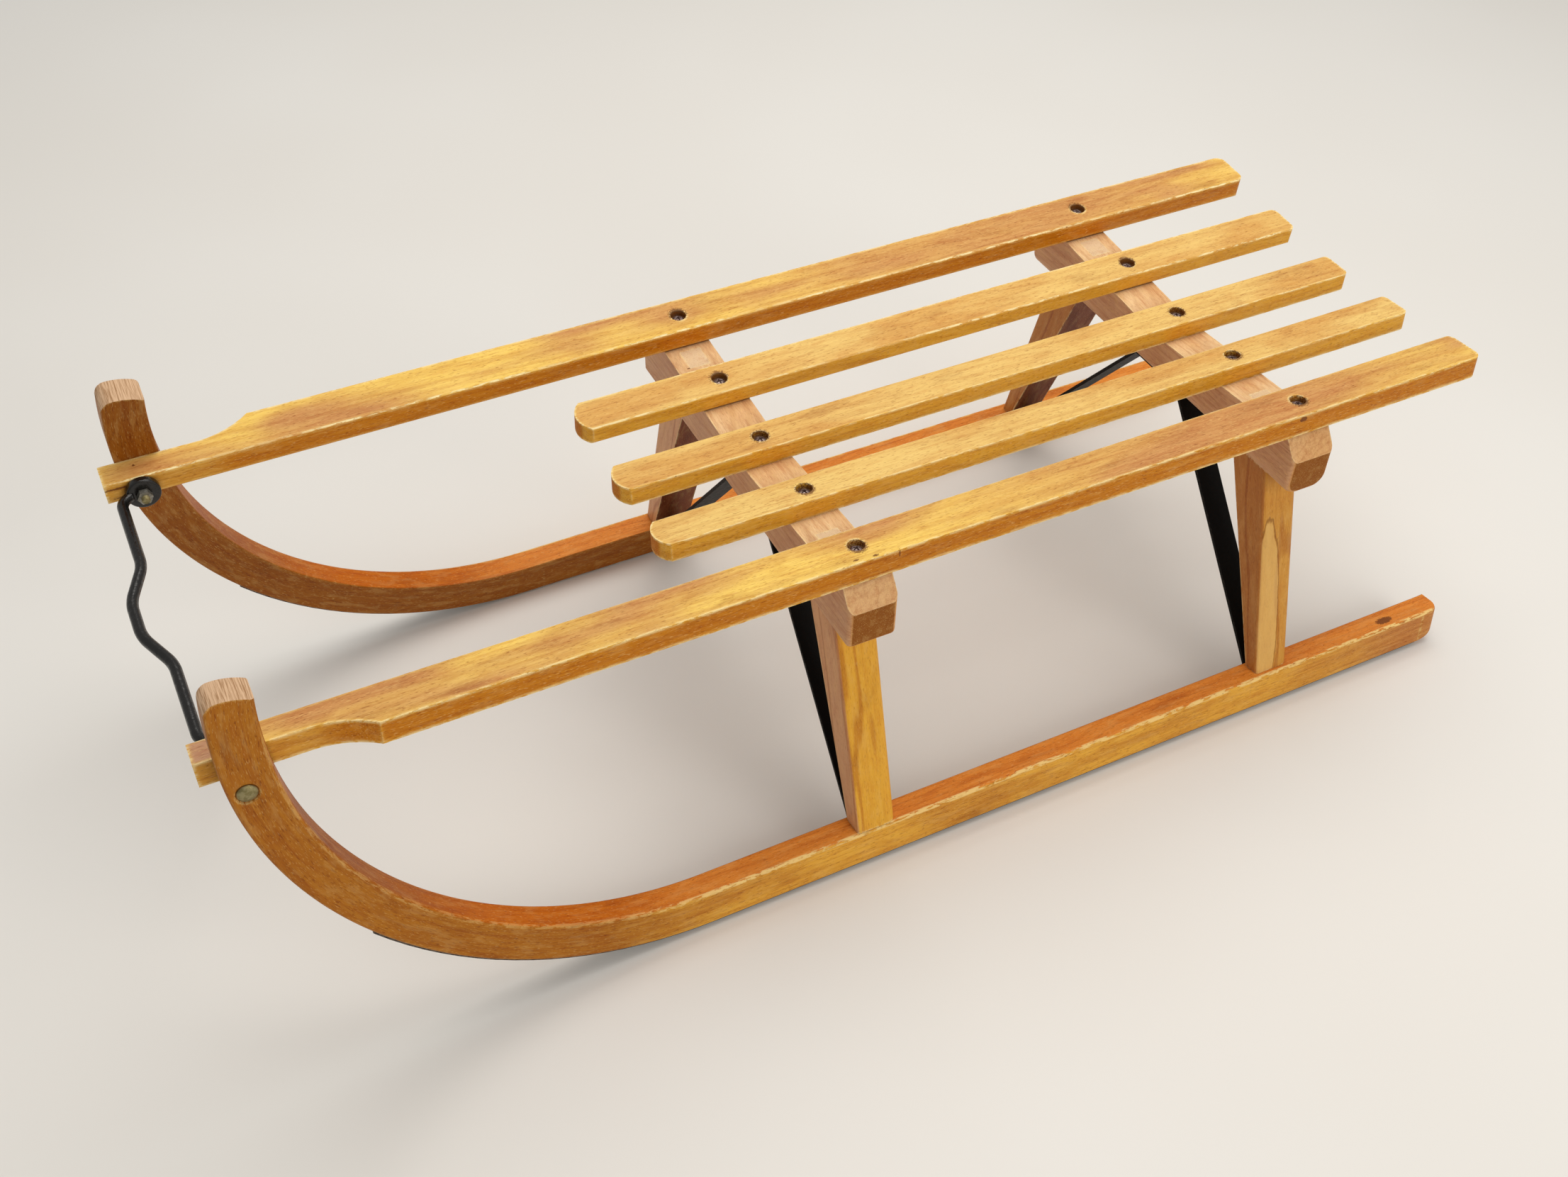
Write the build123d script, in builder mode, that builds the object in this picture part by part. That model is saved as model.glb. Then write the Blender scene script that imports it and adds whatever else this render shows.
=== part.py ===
from build123d import *
import math
import os

# Slatted wooden sled, millimetres. +X points to the horns, +Y to the sled's left, +Z up.
# The origin lies on the floor, in the middle of the overall length and width.

# Stations along the sled, counted forward from the runners' tails
rear_trestle_station = 187.0
trestle_spacing = 392.0
bend_station = 720.0
slat_tail_station = 15.0
inner_slat_length = 686.0

# Runners
runner_width = 23.0
runner_height = 32.5
runner_lean = 7.1
runner_half_track = 216.5
lower_bend_radius = 312.0
lower_bend_angle = 68.5
upper_bend_radius = 294.0
upper_bend_angle = 30.1
tail_heel_radius = 18.0
tail_corner_radius = 9.0
horn_taper = 2.0
horn_taper_angle = 9.0
horn_crown_rise = 3.1
horn_front_radius = 7.0
runner_edge_ease = 1.4

# Steel running strips under the runners
shoe_thickness = 2.0
shoe_width = 18.0
shoe_bend_angle = 52.0
shoe_tail_margin = 19.0

# Seat: two long rails outside, three short slats between them
rail_web = 22.4
rail_tip_overhang = 25.5
rail_width = 38.0
rail_thickness = 18.5
slat_pitch = 75.6
slat_width = 32.0
slat_thickness = 15.5
seat_edge_radius = 2.0
rail_top_edge_radius = 4.5
slat_nose_sagitta = 8.0
slat_tail_radius = 6.0
rail_tip_radius = 2.5
rail_tail_radius = 8.0
rebate_floor_length = 44.5
rebate_shoulder_radius = 67.0
rebate_shoulder_angle = 60.0

# Cross members
cross_height = 39.1
cross_overhang = 11.4
cross_width = 40.0
cross_underside = 223.0
cross_shoulder_slope = 4.6
cross_flat_half_length = 16.0
cross_end_bevel_run = 13.5
cross_end_bevel_drop = 18.0
cross_end_radius = 5.0
front_cross_edge_radius = 4.0
rear_cross_edge_radius = 13.0

# Legs
leg_top_inset = 41.6
leg_top_depth = 42.0
leg_top_width = 35.5
leg_setback = 2.4
leg_foot_inset = 3.8
front_foot_depth = 18.8
rear_foot_depth = 14.5
leg_foot_width = 34.5
leg_front_round_radius = 3.0
leg_rear_round_radius = 8.0
tenon_width = 18.0
tenon_depth = 22.0
tenon_inset = 16.0

# Flat steel braces
brace_thickness = 3.0
brace_width = 22.0
brace_crown_half = 30.0
brace_tab_length = 18.0
brace_tab_top_gap = 8.0
brace_bend_radius = 6.0

# Screws that hold the seat, sunk in counterbores
counterbore_radius = 6.5
counterbore_depth = 5.0
screw_head_radius = 4.6
screw_head_height = 2.4
screw_head_round = 1.2
screw_shank_radius = 2.0
screw_length = 28.0

# Coach bolts, nuts and the pull bar that swings on them
bolt_above_members = 56.0
bolt_forward = 4.4
bolt_radius = 3.0
bolt_head_radius = 8.2
bolt_head_height = 3.6
bolt_stub = 3.0
bolt_head_margin = 0.5
bolt_head_sink = 0.4
nut_flats = 10.0
nut_height = 5.0
hole_clearance = 0.2
eye_bore_clearance = 0.1
side_clearance = 0.3
eye_thickness = 6.0
eye_radius = 12.5
bar_radius = 4.0
bar_root_reach = 4.0
bar_reach = 17.0
kink_reach = 31.0
kink_half_width = 52.0
kink_run = 34.0
bar_bend_radius = 12.0
nut_seat_radius = 7.5

overrun = 10.0

# Derived places
lean_cos = math.cos(math.radians(runner_lean))
lean_sin = math.sin(math.radians(runner_lean))
shoe_inset = (runner_width - shoe_width) / 2
runner_lift = shoe_thickness * lean_cos + (runner_width - shoe_inset) * lean_sin
slope_tan = math.tan(math.radians(cross_shoulder_slope))
shoulder_up = (0, -math.sin(math.radians(cross_shoulder_slope)), math.cos(math.radians(cross_shoulder_slope)))
dish_base = cross_underside + cross_height
bolt_height = cross_underside + bolt_above_members

# The horn is the bend's upper arc; the bolt stands a little forward of its middle
bend_step = lower_bend_radius - upper_bend_radius
horn_centre_station = bend_station + bend_step * math.sin(math.radians(lower_bend_angle))
horn_centre_height = lower_bend_radius - bend_step * math.cos(math.radians(lower_bend_angle))
bolt_below_centre = horn_centre_height - (bolt_height - runner_lift) / lean_cos
horn_middle_radius = upper_bend_radius - runner_height / 2
horn_middle_reach = math.sqrt(horn_middle_radius**2 - bolt_below_centre**2)
bolt_station = horn_centre_station + horn_middle_reach + bolt_forward
overall_length = bolt_station + kink_reach + bar_radius


def at_station(station):
    """X of a station counted from the runners' tails."""
    return station - overall_length / 2


def cross_top(offset):
    """Height of a cross member's dished top at a distance from the middle."""
    return dish_base + slope_tan * max(offset - cross_flat_half_length, 0)


def runner_point(height, depth):
    """Y and Z of a point on the left runner's section: height above its sole, depth in from its outer face."""
    y = runner_half_track - height * lean_sin - depth * lean_cos
    z = runner_lift + height * lean_cos - depth * lean_sin
    return y, z


front_trestle_x = at_station(rear_trestle_station + trestle_spacing)
rear_trestle_x = at_station(rear_trestle_station)
bolt_x = at_station(bolt_station)
tail_x = at_station(0)
bend_x = at_station(bend_station)
slat_tail_x = at_station(slat_tail_station)
rail_tip_x = bolt_x + rail_tip_overhang
rail_length = rail_tip_x - slat_tail_x
slat_nose_x = slat_tail_x + inner_slat_length
runner_up = (0, -lean_sin, lean_cos)
bolt_plane = Plane(origin=(bolt_x, 0, bolt_height), x_dir=(1, 0, 0), z_dir=(0, 1, 0))
horn_inner_y, horn_inner_z = runner_point(bolt_height - runner_lift, runner_width)
rail_offset = horn_inner_y - rail_web + rail_width / 2
cross_length = (rail_offset + cross_overhang) * 2 + rail_width
head_spot_radius = bolt_head_radius + bolt_head_margin
head_spot_top = (bolt_height + head_spot_radius - runner_lift) / lean_cos
head_seat_y = runner_point(head_spot_top, 0)[0] - bolt_head_sink


def rod(plane, radius, depth):
    """A round rod or a hole's cutter: a cylinder from a plane along its normal."""
    with BuildPart() as cylinder:
        with BuildSketch(plane):
            Circle(radius)
        extrude(amount=depth)
    return cylinder.part


# Left runner: a straight sole, a two-radius bend and a short cut-off horn, in a plane that leans inward
runner_face = Plane(
    origin=(0, runner_half_track, runner_lift), x_dir=(1, 0, 0), z_dir=(0, -lean_cos, -lean_sin)
)
tail_corner = runner_face.from_local_coords((tail_x, 0, 0))
with BuildPart() as runner_left:
    with BuildSketch(runner_face):
        with BuildLine():
            sole = Line((tail_x, 0), (bend_x, 0))
            low_sole = JernArc(sole @ 1, sole % 1, lower_bend_radius, lower_bend_angle)
            high_sole = JernArc(low_sole @ 1, low_sole % 1, upper_bend_radius, upper_bend_angle)
            deck = Line((tail_x, runner_height), (bend_x, runner_height))
            low_deck = JernArc(deck @ 1, deck % 1, lower_bend_radius - runner_height, lower_bend_angle)
            high_deck = JernArc(
                low_deck @ 1,
                low_deck % 1,
                upper_bend_radius - runner_height,
                upper_bend_angle - horn_taper_angle,
            )
            horn_end = high_sole % 1
            across = horn_end.rotate(Axis.Z, 90)
            horn_front = high_sole @ 1
            horn_rear = horn_front + across * (runner_height - horn_taper)
            horn_crown = (horn_front + horn_rear) / 2 + horn_end * horn_crown_rise
            ThreePointArc(horn_front, horn_crown, horn_rear)
            Line(high_deck @ 1, horn_rear)
            Line(sole @ 0, deck @ 0)
        outline = make_face()
        fillet(outline.vertices().group_by(Axis.X)[0].sort_by(Axis.Y)[0], tail_heel_radius)
        fillet(outline.vertices().sort_by_distance(horn_front)[0], horn_front_radius)
    extrude(amount=runner_width)
    cheeks = runner_left.faces().sort_by(Axis(runner_face.origin, runner_face.z_dir))
    below_crown = (cheeks[0].edges() + cheeks[-1].edges()).sort_by(Axis.Z)[:-2]
    chamfer(below_crown, runner_edge_ease)
    with BuildSketch(Plane(origin=tail_corner, x_dir=(1, 0, 0), z_dir=runner_up)):
        Rectangle(tail_corner_radius, tail_corner_radius, align=(Align.MIN, Align.MAX))
        with Locations((tail_corner_radius, -tail_corner_radius)):
            Circle(tail_corner_radius, mode=Mode.SUBTRACT)
    extrude(amount=runner_height, mode=Mode.SUBTRACT)
    add(rod(bolt_plane, bolt_radius + hole_clearance, runner_half_track), mode=Mode.SUBTRACT)
    add(rod(bolt_plane.offset(head_seat_y), head_spot_radius, overrun), mode=Mode.SUBTRACT)

with BuildPart() as runner_right:
    mirror(runner_left.part, about=Plane.XZ)

# Left running strip, bent round the sole and ending part of the way up the bend
strip_face = runner_face.offset(shoe_inset)
with BuildPart() as shoe_left:
    with BuildSketch(strip_face):
        with BuildLine():
            top = Line((tail_x + shoe_tail_margin, 0), (bend_x, 0))
            top_bend = JernArc(top @ 1, top % 1, lower_bend_radius, shoe_bend_angle)
            wear = Line((tail_x + shoe_tail_margin, -shoe_thickness), (bend_x, -shoe_thickness))
            wear_bend = JernArc(wear @ 1, wear % 1, lower_bend_radius + shoe_thickness, shoe_bend_angle)
            Line(top @ 0, wear @ 0)
            Line(top_bend @ 1, wear_bend @ 1)
        make_face()
    extrude(amount=shoe_width)

with BuildPart() as shoe_right:
    mirror(shoe_left.part, about=Plane.XZ)


def seat_plane(offset, thickness):
    """Section plane of a slat at its tail: its origin is the middle of the slat's top."""
    up = shoulder_up if offset > cross_flat_half_length else (0, 0, 1)
    origin = (slat_tail_x, offset + thickness * up[1], cross_top(offset) + thickness * up[2])
    return Plane(origin=origin, x_dir=(0, up[2], -up[1]), z_dir=(1, 0, 0))


def screw_plane(offset, thickness, trestle_x):
    """Plane of a screw's counterbore floor, facing down the screw."""
    section = seat_plane(offset, thickness)
    surface = Plane(origin=(trestle_x, section.origin.Y, section.origin.Z), x_dir=(1, 0, 0), z_dir=-section.y_dir)
    return surface.offset(counterbore_depth)


def screw_cutters(offset, thickness):
    """Cutters for the counterbores and shank holes of one seat bar, at both trestles."""
    cutters = []
    for trestle_x in (front_trestle_x, rear_trestle_x):
        floor = screw_plane(offset, thickness, trestle_x)
        cutters.append(rod(floor, counterbore_radius, -counterbore_depth * 2))
        cutters.append(rod(floor, screw_shank_radius + hole_clearance, thickness))
    return cutters


def seat_bar(offset, width, thickness, length, top_radius, nose_sagitta, nose_radius, tail_radius):
    """One bar of the seat: eased edges, rounded tail corners and a nose bowed or rounded in plan."""
    section = seat_plane(offset, thickness)
    plan = Plane(origin=section.origin, x_dir=(1, 0, 0), z_dir=section.y_dir)
    half = width / 2
    shoulder = length - nose_sagitta
    with BuildPart() as bar:
        with BuildSketch(section):
            profile = Rectangle(width, thickness, align=(Align.CENTER, Align.MAX))
            fillet(profile.vertices().sort_by(Axis.Z)[:2], seat_edge_radius)
            fillet(profile.vertices().sort_by(Axis.Z)[-2:], top_radius)
        extrude(amount=length)
        with BuildSketch(plan):
            with BuildLine():
                sides = Polyline((shoulder, -half), (0, -half), (0, half), (shoulder, half))
                if nose_sagitta:
                    ThreePointArc(sides @ 1, (length, 0), sides @ 0)
                else:
                    Line(sides @ 1, sides @ 0)
            outline = make_face()
            ends = outline.vertices().group_by(Axis.X)
            fillet(ends[0], tail_radius)
            if nose_radius:
                fillet(ends[-1], nose_radius)
        extrude(amount=thickness * 2, both=True, mode=Mode.INTERSECT)
        add(screw_cutters(offset, thickness), mode=Mode.SUBTRACT)
    return bar.part


# Left rail: rebated over the horn with a curved shoulder
rail_section = seat_plane(rail_offset, rail_thickness)
horn_inner = Plane(origin=(0, horn_inner_y, horn_inner_z), x_dir=(1, 0, 0), z_dir=runner_up)
rebate_end_x = bolt_x - rebate_floor_length
with BuildPart() as rail_left:
    add(
        seat_bar(
            rail_offset,
            rail_width,
            rail_thickness,
            rail_length,
            rail_top_edge_radius,
            0,
            rail_tip_radius,
            rail_tail_radius,
        )
    )
    with BuildSketch(horn_inner) as rebate:
        with BuildLine():
            floor_line = Line((rail_tip_x + overrun, 0), (rebate_end_x, 0))
            shoulder = JernArc(
                floor_line @ 1, floor_line % 1, rebate_shoulder_radius, -rebate_shoulder_angle
            )
            out_line = Line(shoulder @ 1, (shoulder @ 1) + (0, rail_width))
            far_line = Line(out_line @ 1, (rail_tip_x + overrun, (out_line @ 1).Y))
            Line(far_line @ 1, floor_line @ 0)
        make_face()
    extrude(amount=rail_thickness * 2, both=True, mode=Mode.SUBTRACT)
    add(rod(bolt_plane, bolt_radius + hole_clearance, runner_half_track), mode=Mode.SUBTRACT)

with BuildPart() as rail_right:
    mirror(rail_left.part, about=Plane.XZ)


def inner_slat(offset):
    """One short slat with a bowed nose."""
    return seat_bar(
        offset,
        slat_width,
        slat_thickness,
        inner_slat_length,
        seat_edge_radius,
        slat_nose_sagitta,
        0,
        slat_tail_radius,
    )


with BuildPart() as slat_left:
    add(inner_slat(slat_pitch))

with BuildPart() as slat_centre:
    add(inner_slat(0))

with BuildPart() as slat_right:
    mirror(slat_left.part, about=Plane.XZ)


# Where a leg's foot stands on the runner's leaning top
deck_outer_y, deck_outer_z = runner_point(runner_height, 0)
deck_inner_y, foot_height = runner_point(runner_height, runner_width)
leg_foot_inner = deck_inner_y + leg_foot_inset
leg_top_inner = rail_offset - leg_top_inset
deck_plane = Plane(origin=(0, deck_outer_y, deck_outer_z), x_dir=(1, 0, 0), z_dir=runner_up)
shoulder_plane = Plane(origin=(0, cross_flat_half_length, dish_base), x_dir=(1, 0, 0), z_dir=shoulder_up)


def leg_value(foot, top, height):
    """A leg's size at a height, running straight from its foot to its top."""
    return foot + (top - foot) * (height - foot_height) / (cross_underside - foot_height)


def tenon(trestle_x):
    """The slanted tenon that a left leg sends up through its cross member."""
    low_y = leg_top_inner + tenon_inset + tenon_depth / 2
    high = dish_base + overrun * 2
    high_y = low_y + leg_value(leg_foot_inner, leg_top_inner, high) - leg_top_inner
    with BuildPart() as peg:
        for height, y in ((cross_underside, low_y), (high, high_y)):
            with BuildSketch(Plane.XY.offset(height)):
                with Locations((trestle_x, y)):
                    Rectangle(tenon_width, tenon_depth)
        loft()
        split(bisect_by=shoulder_plane, keep=Keep.BOTTOM)
    return peg.part


def beam(trestle_x, edge_radius):
    """A cross member before its mortises: flat middle, rising shoulders, bevelled ends, rounded lower edges."""
    half = cross_length / 2
    bevel_start = half - cross_end_bevel_run
    flat = cross_flat_half_length
    with BuildPart() as blank:
        with BuildSketch(Plane.YZ.offset(trestle_x - cross_width / 2)):
            with BuildLine():
                side = Polyline(
                    (0, cross_underside),
                    (half, cross_underside),
                    (half, cross_top(bevel_start) - cross_end_bevel_drop),
                    (bevel_start, cross_top(bevel_start)),
                    (flat, dish_base),
                    (0, dish_base),
                )
                mirror(side, about=Plane.YZ)
            make_face()
        extrude(amount=cross_width)
        lower = blank.edges().filter_by(Axis.Y).group_by(Axis.Z)[0]
        fillet(lower, edge_radius)
        end_faces = blank.faces().filter_by(Axis.Y)
        fillet(end_faces.edges().filter_by(Axis.Z), cross_end_radius)
    return blank.part


def cross_member(trestle_x, edge_radius):
    """A cross member mortised for its two legs and drilled for the seat's screws."""
    with BuildPart() as member:
        add(beam(trestle_x, edge_radius))
        peg = tenon(trestle_x)
        add(peg, mode=Mode.SUBTRACT)
        add(peg.mirror(Plane.XZ), mode=Mode.SUBTRACT)
        for offset, thickness in seat_rows:
            floor = screw_plane(offset, thickness, trestle_x)
            pilot = rod(floor, screw_shank_radius + hole_clearance, screw_length + hole_clearance)
            add(pilot, mode=Mode.SUBTRACT)
            add(pilot.mirror(Plane.XZ), mode=Mode.SUBTRACT)
    return member.part


seat_rows = ((0, slat_thickness), (slat_pitch, slat_thickness), (rail_offset, rail_thickness))

with BuildPart() as cross_member_front:
    add(cross_member(front_trestle_x, front_cross_edge_radius))

with BuildPart() as cross_member_rear:
    add(cross_member(rear_trestle_x, rear_cross_edge_radius))


def leg(trestle_x, edge_radius, foot_depth):
    """A splayed left leg with rounded outer corners, scribed under its cross member, and its tenon."""
    with BuildPart() as post:
        for height in (foot_height - overrun, cross_underside + edge_radius):
            inner = leg_value(leg_foot_inner, leg_top_inner, height)
            depth = leg_value(foot_depth, leg_top_depth, height)
            width = leg_value(leg_foot_width, leg_top_width, height)
            with BuildSketch(Plane.XY.offset(height)):
                with Locations((trestle_x - leg_setback, inner)):
                    outline = Rectangle(width, depth, align=(Align.CENTER, Align.MIN))
                front_corner = outline.vertices().group_by(Axis.Y)[-1].sort_by(Axis.X)[-1]
                outline = fillet(front_corner, leg_front_round_radius)
                rear_corner = outline.vertices().group_by(Axis.Y)[-1].sort_by(Axis.X)[0]
                fillet(rear_corner, leg_rear_round_radius)
        loft()
        split(bisect_by=deck_plane, keep=Keep.TOP)
        add(beam(trestle_x, edge_radius), mode=Mode.SUBTRACT)
        add(tenon(trestle_x))
    return post.part


with BuildPart() as leg_front_left:
    add(leg(front_trestle_x, front_cross_edge_radius, front_foot_depth))

with BuildPart() as leg_front_right:
    mirror(leg_front_left.part, about=Plane.XZ)

with BuildPart() as leg_rear_left:
    add(leg(rear_trestle_x, rear_cross_edge_radius, rear_foot_depth))

with BuildPart() as leg_rear_right:
    mirror(leg_rear_left.part, about=Plane.XZ)


def brace(trestle_x):
    """A flat bar bent into an inverted V: crown under the cross member, tabs on the runners' inner faces."""
    tab_top = runner_point(runner_height - brace_tab_top_gap, runner_width)
    tab_end = runner_point(runner_height - brace_tab_top_gap - brace_tab_length, runner_width)
    with BuildPart() as strap:
        with BuildSketch(Plane.YZ.offset(trestle_x - brace_width / 2)):
            with BuildLine():
                FilletPolyline(
                    (-tab_end[0], tab_end[1]),
                    (-tab_top[0], tab_top[1]),
                    (-brace_crown_half, cross_underside),
                    (brace_crown_half, cross_underside),
                    tab_top,
                    tab_end,
                    radius=brace_bend_radius,
                )
                offset(amount=brace_thickness, side=Side.RIGHT)
            make_face()
        extrude(amount=brace_width)
    return strap.part


with BuildPart() as brace_front:
    add(brace(front_trestle_x))

with BuildPart() as brace_rear:
    add(brace(rear_trestle_x))


def seat_screw(floor):
    """A round-headed screw standing on its counterbore's floor."""
    with BuildPart() as screw:
        add(rod(floor, screw_head_radius, -screw_head_height))
        crown = screw.faces().sort_by(Axis.Z)[-1]
        fillet(crown.edges(), screw_head_round)
        add(rod(floor, screw_shank_radius, screw_length))
    return screw.part


# Seat screws, one in each counterbore
with BuildPart() as seat_screws:
    for trestle_x in (front_trestle_x, rear_trestle_x):
        for offset_y, thickness in seat_rows:
            screw = seat_screw(screw_plane(offset_y, thickness, trestle_x))
            add(screw)
            if offset_y:
                add(screw.mirror(Plane.XZ))

# The pull bar's eye lies against the rail's inner side, with its nut inboard
rail_inner_y = rail_section.from_local_coords((-rail_width / 2, 0, 0)).Y
eye_outer_y = rail_inner_y - side_clearance
eye_inner_y = eye_outer_y - eye_thickness
nut_outer_y = eye_inner_y - side_clearance
nut_inner_y = nut_outer_y - nut_height
bolt_end_y = nut_inner_y - bolt_stub
bolt_section = Plane(origin=(bolt_x, 0, bolt_height), x_dir=(0, 1, 0), z_dir=(1, 0, 0))

with BuildPart() as coach_bolt_left:
    with BuildSketch(bolt_section):
        with BuildLine():
            dome_radius = (bolt_head_radius**2 + bolt_head_height**2) / bolt_head_height / 2
            shank = Polyline(
                (head_seat_y + bolt_head_height, 0),
                (bolt_end_y, 0),
                (bolt_end_y, bolt_radius),
                (head_seat_y, bolt_radius),
                (head_seat_y, bolt_head_radius),
            )
            RadiusArc(shank @ 1, shank @ 0, dome_radius)
        make_face()
    revolve(axis=Axis(bolt_section.origin, (0, 1, 0)))

with BuildPart() as coach_bolt_right:
    mirror(coach_bolt_left.part, about=Plane.XZ)

with BuildPart() as nut_left:
    with BuildSketch(bolt_plane.offset(nut_inner_y)):
        RegularPolygon(nut_flats / 2, side_count=6, major_radius=False)
        Circle(bolt_radius, mode=Mode.SUBTRACT)
    extrude(amount=nut_height)

with BuildPart() as nut_right:
    mirror(nut_left.part, about=Plane.XZ)

# Pull bar: a round rod with a shallow forward kink, and a flat ring eye at each end
with BuildPart() as pull_bar:
    root_y = eye_outer_y - bar_radius
    bar_plane = Plane(origin=(bolt_x, 0, bolt_height), x_dir=(1, 0, 0), z_dir=(0, 0, 1))
    with BuildLine(bar_plane) as centre_line:
        FilletPolyline(
            (bar_root_reach, root_y),
            (bar_reach, root_y),
            (bar_reach, kink_half_width),
            (kink_reach, kink_half_width - kink_run),
            (kink_reach, kink_run - kink_half_width),
            (bar_reach, -kink_half_width),
            (bar_reach, -root_y),
            (bar_root_reach, -root_y),
            radius=bar_bend_radius,
        )
    with BuildSketch(Plane(origin=centre_line.line @ 0, z_dir=centre_line.line % 0)):
        Circle(bar_radius)
    sweep()
    eye = rod(bolt_plane.offset(eye_inner_y), eye_radius, eye_thickness)
    eye_hole = rod(bolt_plane, bolt_radius + eye_bore_clearance, runner_half_track)
    nut_seat = rod(bolt_plane.offset(eye_inner_y), nut_seat_radius, -bar_radius * 2)
    add((eye, eye.mirror(Plane.XZ)))
    add((eye_hole, eye_hole.mirror(Plane.XZ), nut_seat, nut_seat.mirror(Plane.XZ)), mode=Mode.SUBTRACT)

pieces = {
    "runner_left": runner_left,
    "runner_right": runner_right,
    "running_strip_left": shoe_left,
    "running_strip_right": shoe_right,
    "rail_left": rail_left,
    "rail_right": rail_right,
    "slat_left": slat_left,
    "slat_centre": slat_centre,
    "slat_right": slat_right,
    "cross_member_front": cross_member_front,
    "cross_member_rear": cross_member_rear,
    "leg_front_left": leg_front_left,
    "leg_front_right": leg_front_right,
    "leg_rear_left": leg_rear_left,
    "leg_rear_right": leg_rear_right,
    "brace_front": brace_front,
    "brace_rear": brace_rear,
    "seat_screws": seat_screws,
    "coach_bolt_left": coach_bolt_left,
    "coach_bolt_right": coach_bolt_right,
    "nut_left": nut_left,
    "nut_right": nut_right,
    "pull_bar": pull_bar,
}

os.makedirs("parts", exist_ok=True)
for name, piece in pieces.items():
    piece.part.label = name
    export_step(piece.part, f"parts/{name}.step")
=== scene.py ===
"""Picture scene for a slatted wooden sled: finishes, worked pieces, floor, lamps and camera.

Lengths are metres. +X points to the horns, +Y to the sled's left side and +Z up, with the
origin on the floor under the middle of the sled. Finishes measure their grain in millimetres.
"""

import logging
from dataclasses import dataclass
from enum import Enum

import bpy
import numpy as np
from mathutils import Matrix

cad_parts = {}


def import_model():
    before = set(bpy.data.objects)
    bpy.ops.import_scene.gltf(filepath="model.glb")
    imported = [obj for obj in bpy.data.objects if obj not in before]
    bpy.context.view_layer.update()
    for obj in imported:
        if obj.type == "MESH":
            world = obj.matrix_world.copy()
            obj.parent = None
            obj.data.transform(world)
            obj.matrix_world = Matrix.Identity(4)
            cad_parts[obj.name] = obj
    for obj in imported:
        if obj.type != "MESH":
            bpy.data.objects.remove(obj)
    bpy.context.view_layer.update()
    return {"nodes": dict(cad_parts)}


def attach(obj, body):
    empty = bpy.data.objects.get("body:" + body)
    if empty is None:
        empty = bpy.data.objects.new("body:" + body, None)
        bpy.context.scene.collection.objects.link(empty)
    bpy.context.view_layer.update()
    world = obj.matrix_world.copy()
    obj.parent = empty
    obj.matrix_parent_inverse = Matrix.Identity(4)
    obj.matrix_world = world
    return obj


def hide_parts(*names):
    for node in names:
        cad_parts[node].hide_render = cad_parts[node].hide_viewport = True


LOG = logging.getLogger("sled")
MM = 0.001
PER_METRE = 1000.0
# How much smoother than its named roughness a metal or paint starts, before its patches.
SMOOTHER = 0.1

Triple = tuple[float, float, float]
Span = tuple[float, float]
AxisPlace = tuple[float, float]
Mark = tuple[Triple, Triple]
Steps = tuple[Triple, Triple]
Socket = bpy.types.NodeSocket
Value = Socket | float | tuple


class Grain(Enum):
    """Where a wood finish takes its grain's direction from."""

    ALONG_X = "x"
    ALONG_Y = "y"
    ALONG_Z = "z"
    CARRIED = "carried"


class Side(Enum):
    """The sled's two sides, as the sign of Y."""

    LEFT = 1
    RIGHT = -1


def colour(code: str) -> tuple[float, float, float, float]:
    """Turns a six-digit sRGB code into a linear colour.

    Args:
        code: The colour as six hexadecimal digits.

    Returns:
        Linear red, green, blue and a full alpha.
    """
    channels = np.array([int(code[i : i + 2], 16) for i in (0, 2, 4)]) / 255
    linear = np.where(channels <= 0.04045, channels / 12.92, ((channels + 0.055) / 1.055) ** 2.4)
    return (*linear.tolist(), 1.0)


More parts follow.
